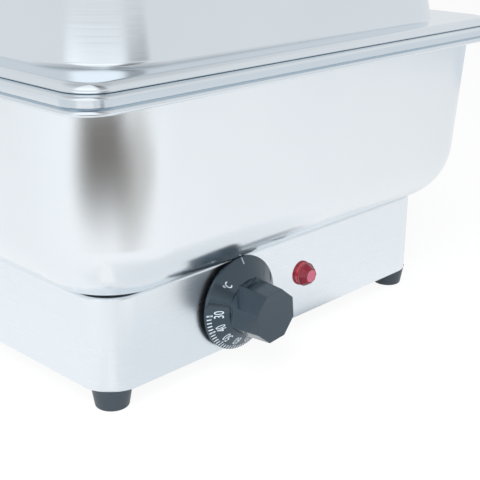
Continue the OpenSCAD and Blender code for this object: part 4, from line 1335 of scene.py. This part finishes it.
@dataclass
class Lamp:
    """The lens of the heating lamp: a ribbed round side and an eight-sided slope to its front."""

    at: Pair = LAMP_AT
    panel: float = PANEL_Y
    flange: Pair = (7.7, 1.4)
    side: Pair = (7.3, 3.2)
    side_count: int = 64
    ribs: int = 3
    rib_depth: float = 0.3
    slope: Triple = (7.5, 4.8, 4.2)
    slope_count: int = 8
    edge: float = 0.25
    sharp: float = 40.0
    front_film: float = 0.05
    front_count: int = 48

    def build(self) -> None:
        """Builds and dresses the lens and its etched front."""
        side = settle(self.ribbed_side(), Body.BASE, LENS_RED, ["lamp_lens"])
        side.data.materials.append(LENS_PAINTED_GLOW.material())
        # The middle rib takes the painted glow of the lamp's light
        lit = self.panel - self.flange[1] - self.side[1] / 2
        for face in side.data.polygons:
            if abs(face.center.y - lit * MM) < self.side[1] / (2 * self.ribs) * MM:
                face.material_index = 1
        # The cap's facets carry the painted shade
        facets = settle(self.cap(), Body.BASE, LENS_PAINTED_SHADE)
        front = settle(self.front(), Body.BASE, LENS_FRONT)
        # The lens is hidden from all reflections, so the panel shows no mirror image of it
        side.visible_glossy = facets.visible_glossy = front.visible_glossy = False

    def place(self, out: float) -> Triple:
        """Returns the point of the lamp's axis at a distance out of the panel in mm, in metres."""
        return self.at[0] * MM, (self.panel - out) * MM, self.at[1] * MM

    def ribbed_side(self) -> Piece:
        """Makes the round flange and the ribbed side in front of it.

        Returns:
            The side.
        """
        radius, thick = self.flange
        place = self.place(thick / 2)
        piece = start_turned("lens_side", place, (radius, radius), thick, self.side_count)
        pick_end(piece, (0.0, -1.0, 0.0))
        crest, length = self.side
        step = length / (2 * self.ribs)
        wide = crest / (crest - self.rib_depth)
        inset(radius - crest)
        for _ in range(self.ribs):
            inset(self.rib_depth, step)
            inset(0.0, step)
            bpy.ops.transform.resize(value=(wide, 1.0, wide), center_override=self.place(0.0))
        close_mesh()
        bpy.ops.object.mode_set(mode="EDIT")
        _, y, _ = self.place(thick)
        axis = Vector(self.at) * MM
        pick(
            piece,
            "EDGE",
            lambda e: all(
                abs(v.co.y - y) < MERGE and abs((v.co.xz - axis).length - radius * MM) < MERGE
                for v in e.verts
            ),
        )
        round_edges(2 * self.edge, steps=4)
        close_mesh()
        return smooth(piece, self.sharp)

    def cap(self) -> Piece:
        """Makes the eight-sided cap that slopes to the flat front.

        Returns:
            The cap.
        """
        base, tip, length = self.slope
        place = self.place(self.flange[1] + self.side[1] + length / 2)
        piece = start_turned("lens_cap", place, (base, tip), length, self.slope_count)
        round_edges(self.edge, steps=3)
        close_mesh()
        return smooth(piece, self.sharp)

    def front(self) -> Piece:
        """Makes the etched front, a thin plate with a rounded edge.

        Returns:
            The front.
        """
        radius = self.slope[1] * math.cos(math.pi / self.slope_count) - 2 * self.edge
        out = self.flange[1] + self.side[1] + self.slope[2]
        clear_bench()
        bpy.ops.mesh.primitive_circle_add(
            vertices=self.front_count,
            radius=radius * MM,
            fill_type="NGON",
            location=self.place(out - self.front_film),
            rotation=(math.pi / 2, 0.0, 0.0),
        )
        piece = open_piece("lens_front")
        extrude((0.0, -2 * self.front_film, 0.0))
        round_edges(self.front_film, steps=2)
        close_mesh()
        return smooth(piece)


@dataclass
class Fittings:
    """The hinges and the mains inlet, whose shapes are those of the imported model."""

    nodes: Sequence[str] = (
        "hinge_bracket_front",
        "hinge_bracket_rear",
        "hinge_strap_front",
        "hinge_strap_rear",
        "hinge_pins",
        "bracket_rivets",
        "strap_rivets",
        "inlet_socket",
        "inlet_screws",
        "inlet_blades",
    )

    def build(self) -> None:
        """Makes a smoothed copy of each fitting and dresses it."""
        for node in self.nodes:
            refit(node, f"{node}_fitted", SLOT_FINISH[NODE_SLOT[node]])


@dataclass
class InnerWorks:
    """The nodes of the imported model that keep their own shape, under the box and the pans."""

    finishes: Mapping[Slot, Finish] = field(default_factory=lambda: SLOT_FINISH)

    def build(self) -> None:
        """Gives every node that still shows the finish of its slot."""
        for name, slot in NODE_SLOT.items():
            node = frame["nodes"][name]
            if node.hide_render:
                continue
            finish = self.finishes[slot]
            node.data.materials.clear()
            node.data.materials.append(finish.material())
            LOG.info("%s: %s", node.name, finish.name)


# Studio


def only_in_reflections(obj: Piece) -> None:
    """Hides a studio object from the camera, soft light, shadow rays and rays through glass.

    Args:
        obj: The object.
    """
    obj.visible_camera = False
    obj.visible_diffuse = False
    obj.visible_shadow = False
    obj.visible_transmission = False


@dataclass(frozen=True)
class Card:
    """A soft-edged patch of the studio that only reflections show.

    Its reach is half its width and length in mm, and it fades over its soft share of that. A card
    that glows outside is clear within its reach.
    """

    name: str
    colour: str
    centre: Triple
    reach: Pair
    turn: float
    soft: float
    outside: bool = False

    def lay(self) -> None:
        """Lays the card and hides it from all but reflections."""
        clear_bench()
        bpy.ops.mesh.primitive_plane_add(size=SURROUND_SIDE if self.outside else CARD_SIDE)
        card = bpy.context.object
        card.name = self.name
        card.location = Vector(self.centre) * MM
        card.rotation_euler = (0.0, 0.0, math.radians(self.turn))
        card.scale = (self.reach[0] * MM, self.reach[1] * MM, 1.0)
        card.data.materials.append(self.material())
        only_in_reflections(card)

    def material(self) -> bpy.types.Material:
        """Makes the card's material: a glow that fades at the edge of its reach.

        Returns:
            The material.
        """
        made = bare_material(self.name)
        tree = made.node_tree
        place = add_node(tree, "TexCoord").outputs["Object"]
        squared = add_node(tree, "VectorMath", {"operation": "MULTIPLY"}, {0: place, 1: place})
        away = add_node(tree, "VectorMath", {"operation": "LENGTH"}, {0: squared.outputs[0]})
        inner, outer = (0.0, 1.0) if self.outside else (1.0, 0.0)
        ends = {"From Min": 1.0 - self.soft, "From Max": 1.0, "To Min": inner, "To Max": outer}
        soft = {"interpolation_type": "SMOOTHSTEP"}
        fade = add_node(tree, "MapRange", soft | ends, {"Value": away.outputs["Value"]})
        clear = add_node(tree, "BsdfTransparent")
        glow = add_node(tree, "Emission", {"Color": linear(self.colour), "Strength": 1.0})
        parts = {0: fade.outputs["Result"], 1: clear.outputs[0], 2: glow.outputs[0]}
        mixed = add_node(tree, "MixShader", None, parts)
        add_node(tree, "OutputMaterial", None, {"Surface": mixed.outputs[0]})
        return made


@dataclass
class Studio:
    """A pale floor, a grey tent that opens to a white screen, soft light and the camera.

    The floor, the tent, the light and the camera's clipping are in metres.
    """

    camera_at: Triple = (-431.9, -616.3, 273.6)
    azimuth: float = -46.29
    pitch: float = 19.96
    roll: float = 0.55
    lens: float = 75.76
    sensor: float = 36.0
    clip: Pair = (0.01, 50.0)
    floor_size: float = 6.0
    floor_glow: float = 0.9
    floor_in_gloss: float = 0.7
    tent_radius: float = 3.0
    tent_grey: float = 0.86
    screen_white: float = 1.3
    screen_azimuth: float = -50.0
    screen_half: Pair = (22.0, 42.0)
    slit_depth: float = 0.4
    slit_azimuth: float = -1.0
    slit_half: Pair = (2.0, 18.0)
    ceiling_grey: float = 0.6
    ceiling_height: Pair = (35.0, 75.0)
    screen_gap: Triple = (22.0, 4.0, 7.0)
    surround: float = 0.4
    light_size: Pair = (1.2, 1.6)
    light_power: float = 42.0
    light_height: float = 40.0
    light_away: float = 2.2
    cards: Sequence[Card] = (
        Card("paper_end", "#dde3e8", (0.0, 0.0, 0.5), (850.0, 950.0), 0.0, 0.3, True),
        Card("screen_foot", "#ffffff", (-808.0, -786.0, 1.0), (240.0, 430.0), 43.7, 0.4),
        Card("room_side", "#c6c3bf", (-195.0, -601.0, 1.3), (156.0, 183.0), 43.7, 1.0),
        Card("room_gap", "#645d56", (-419.0, -556.0, 1.5), (210.0, 253.0), 43.7, 1.0),
        Card("slit_foot", "#6b6560", (-190.0, -1080.0, 1.4), (120.0, 160.0), 0.0, 1.0),
        Card("contact_shade", "#e9edf0", (-60.0, -295.0, 1.0), (170.0, 80.0), 0.0, 1.0),
        Card("foot_shade", "#8d959c", (22.0, -253.0, 1.1), (62.0, 13.0), 0.0, 1.0),
        Card("corner_glow", "#ffffff", (-187.0, -292.0, 1.2), (75.0, 16.0), 46.0, 0.7),
    )

    def build(self) -> None:
        """Sets the stage."""
        self.camera()
        self.floor()
        self.tent()
        for card in self.cards:
            card.lay()
        self.world()
        self.screen_light()
        bpy.context.scene.view_settings.view_transform = "Standard"

    @staticmethod
    def heading(azimuth: float, tilt: float) -> Vector:
        """Returns the direction at an azimuth from the front and a height angle, in degrees."""
        turn, up = math.radians(azimuth), math.radians(tilt)
        return Vector((math.sin(turn) * math.cos(up), -math.cos(turn) * math.cos(up), math.sin(up)))

    def camera(self) -> None:
        """Places the camera at the photograph's viewing angle."""
        roll = math.radians(self.roll)
        back = self.heading(self.azimuth, self.pitch)
        right = (-back).cross(Vector((0.0, 0.0, 1.0))).normalized()
        up = right.cross(-back)
        across = right * math.cos(roll) + up * math.sin(roll)
        upward = up * math.cos(roll) - right * math.sin(roll)
        data = bpy.data.cameras.new("studio_camera")
        data.lens = self.lens
        data.sensor_width = self.sensor
        data.clip_start, data.clip_end = self.clip
        camera = bpy.data.objects.new("studio_camera", data)
        bpy.context.scene.collection.objects.link(camera)
        turned = Matrix((across, upward, back)).transposed().to_4x4()
        camera.matrix_world = Matrix.Translation(Vector(self.camera_at) * MM) @ turned
        bpy.context.scene.camera = camera

    @staticmethod
    def seen(tree: Tree, in_gloss: float) -> Socket:
        """Tells the rays that show the studio to the viewer from those that light the dish.

        Args:
            tree: The node tree of a material or world.
            in_gloss: The share for rays off gloss.

        Returns:
            1 for rays from the camera or through glass, the share for rays off gloss, else 0.
        """
        path = add_node(tree, "LightPath").outputs
        share = {"operation": "MULTIPLY", 1: in_gloss}
        gloss = add_node(tree, "Math", share, {0: path["Is Glossy Ray"]})
        most = {"operation": "MAXIMUM"}
        rays = {0: path["Is Camera Ray"], 1: path["Is Transmission Ray"]}
        direct = add_node(tree, "Math", most, rays)
        return add_node(tree, "Math", most, {0: gloss.outputs[0], 1: direct.outputs[0]}).outputs[0]

    def floor(self) -> None:
        """Lays a white floor that still takes a faint shadow."""
        clear_bench()
        bpy.ops.mesh.primitive_plane_add(size=self.floor_size)
        floor = bpy.context.object
        floor.name = "studio_floor"
        made = bare_material("white paper")
        tree = made.node_tree
        paper = add_node(tree, "BsdfDiffuse", {"Color": linear("#f2f2f2")})
        tint = add_node(tree, "BsdfDiffuse", {"Color": linear("#606060")})
        white = {"Color": linear("#ffffff"), "Strength": self.floor_glow}
        glow = add_node(tree, "Emission", white)
        bright = add_node(tree, "AddShader", None, {0: tint.outputs[0], 1: glow.outputs[0]})
        shown = self.seen(tree, self.floor_in_gloss)
        parts = {0: shown, 1: paper.outputs[0], 2: bright.outputs[0]}
        mixed = add_node(tree, "MixShader", None, parts)
        # Clear from below, so that the underside shows
        under = add_node(tree, "NewGeometry").outputs["Backfacing"]
        clear = add_node(tree, "BsdfTransparent")
        parts = {0: under, 1: mixed.outputs[0], 2: clear.outputs[0]}
        sided = add_node(tree, "MixShader", None, parts)
        add_node(tree, "OutputMaterial", None, {"Surface": sided.outputs[0]})
        floor.data.materials.append(made)

    def tent(self) -> None:
        """Hangs the tent: grey, darker overhead, with a white screen and a slit beside it."""
        clear_bench()
        bpy.ops.mesh.primitive_uv_sphere_add(segments=64, ring_count=32, radius=self.tent_radius)
        tent = bpy.context.object
        tent.name = "studio_tent"
        made = bare_material("tent cloth")
        tree = made.node_tree
        place = add_node(tree, "TexCoord").outputs["Object"]
        flatten = {"operation": "MULTIPLY", 1: (1.0, 1.0, 0.0)}
        level = add_node(tree, "VectorMath", flatten, {0: place})
        facing = add_node(tree, "VectorMath", {"operation": "NORMALIZE"}, {0: level.outputs[0]})
        height = {"operation": "DOT_PRODUCT", 1: (0.0, 0.0, 1 / self.tent_radius)}
        upward = add_node(tree, "VectorMath", height, {0: place}).outputs["Value"]
        soft = {"interpolation_type": "SMOOTHSTEP"}
        low, high = (math.sin(math.radians(a)) for a in self.ceiling_height)
        ends = {"From Min": low, "From Max": high}
        greys = {"To Min": self.tent_grey, "To Max": self.ceiling_grey}
        total = add_node(tree, "MapRange", soft | ends | greys, {"Value": upward}).outputs["Result"]
        middle, inner, outer = (math.sin(math.radians(a)) for a in self.screen_gap)
        apart = add_node(tree, "Math", {"operation": "SUBTRACT", 1: middle}, {0: upward})
        apart = add_node(tree, "Math", {"operation": "ABSOLUTE"}, {0: apart.outputs[0]})
        ends = {"From Min": inner, "From Max": outer}
        shown = add_node(tree, "MapRange", soft | ends, {"Value": apart.outputs[0]})
        bands = (
            (self.screen_azimuth, self.screen_half, self.screen_white - self.tent_grey),
            (self.slit_azimuth, self.slit_half, -self.slit_depth),
        )
        for azimuth, half, change in bands:
            towards = {"operation": "DOT_PRODUCT", 1: tuple(self.heading(azimuth, 0.0))}
            ahead = add_node(tree, "VectorMath", towards, {0: facing.outputs[0]})
            near, far = (math.cos(math.radians(a)) for a in half)
            ends = {"From Min": far, "From Max": near, "To Max": change}
            band = add_node(tree, "MapRange", soft | ends, {"Value": ahead.outputs["Value"]})
            terms = {0: band.outputs["Result"], 1: shown.outputs["Result"], 2: total}
            total = add_node(tree, "Math", {"operation": "MULTIPLY_ADD"}, terms).outputs[0]
        glow = add_node(tree, "Emission", {"Color": linear("#fbfdff")}, {"Strength": total})
        add_node(tree, "OutputMaterial", None, {"Surface": glow.outputs[0]})
        tent.data.materials.append(made)
        only_in_reflections(tent)

    def world(self) -> None:
        """Surrounds the dish with even white light."""
        world = bpy.data.worlds.new("white surround")
        world.use_nodes = True
        bpy.context.scene.world = world
        tree = world.node_tree
        tree.nodes.clear()
        dim = {"Color": linear("#f6faff"), "Strength": self.surround}
        light = add_node(tree, "Background", dim)
        white = add_node(tree, "Background", {"Color": linear("#ffffff"), "Strength": 1.0})
        parts = {0: self.seen(tree, 1.0), 1: light.outputs[0], 2: white.outputs[0]}
        mixed = add_node(tree, "MixShader", None, parts)
        add_node(tree, "OutputWorld", None, {"Surface": mixed.outputs[0]})

    def screen_light(self) -> None:
        """Lights the dish softly from the screen behind the camera."""
        data = bpy.data.lights.new("screen_light", "AREA")
        data.shape = "RECTANGLE"
        data.size, data.size_y = self.light_size
        data.energy = self.light_power
        lamp = bpy.data.objects.new("screen_light", data)
        bpy.context.scene.collection.objects.link(lamp)
        direction = self.heading(self.azimuth, self.light_height)
        lamp.location = direction * self.light_away
        lamp.rotation_euler = direction.to_track_quat("Z", "Y").to_euler()
        lamp.visible_glossy = False


def main() -> None:
    """Builds the studio and the dish's sub-assemblies in order."""
    logging.basicConfig(level=logging.INFO, format="%(name)s %(message)s")
    for part in (Studio(), BaseBox(), Pans(), Lid(), Knob(), Lamp(), Fittings(), InnerWorks()):
        part.build()
        LOG.info("%s done", type(part).__name__)
    clear_bench()


if __name__ == "__main__":
    main()
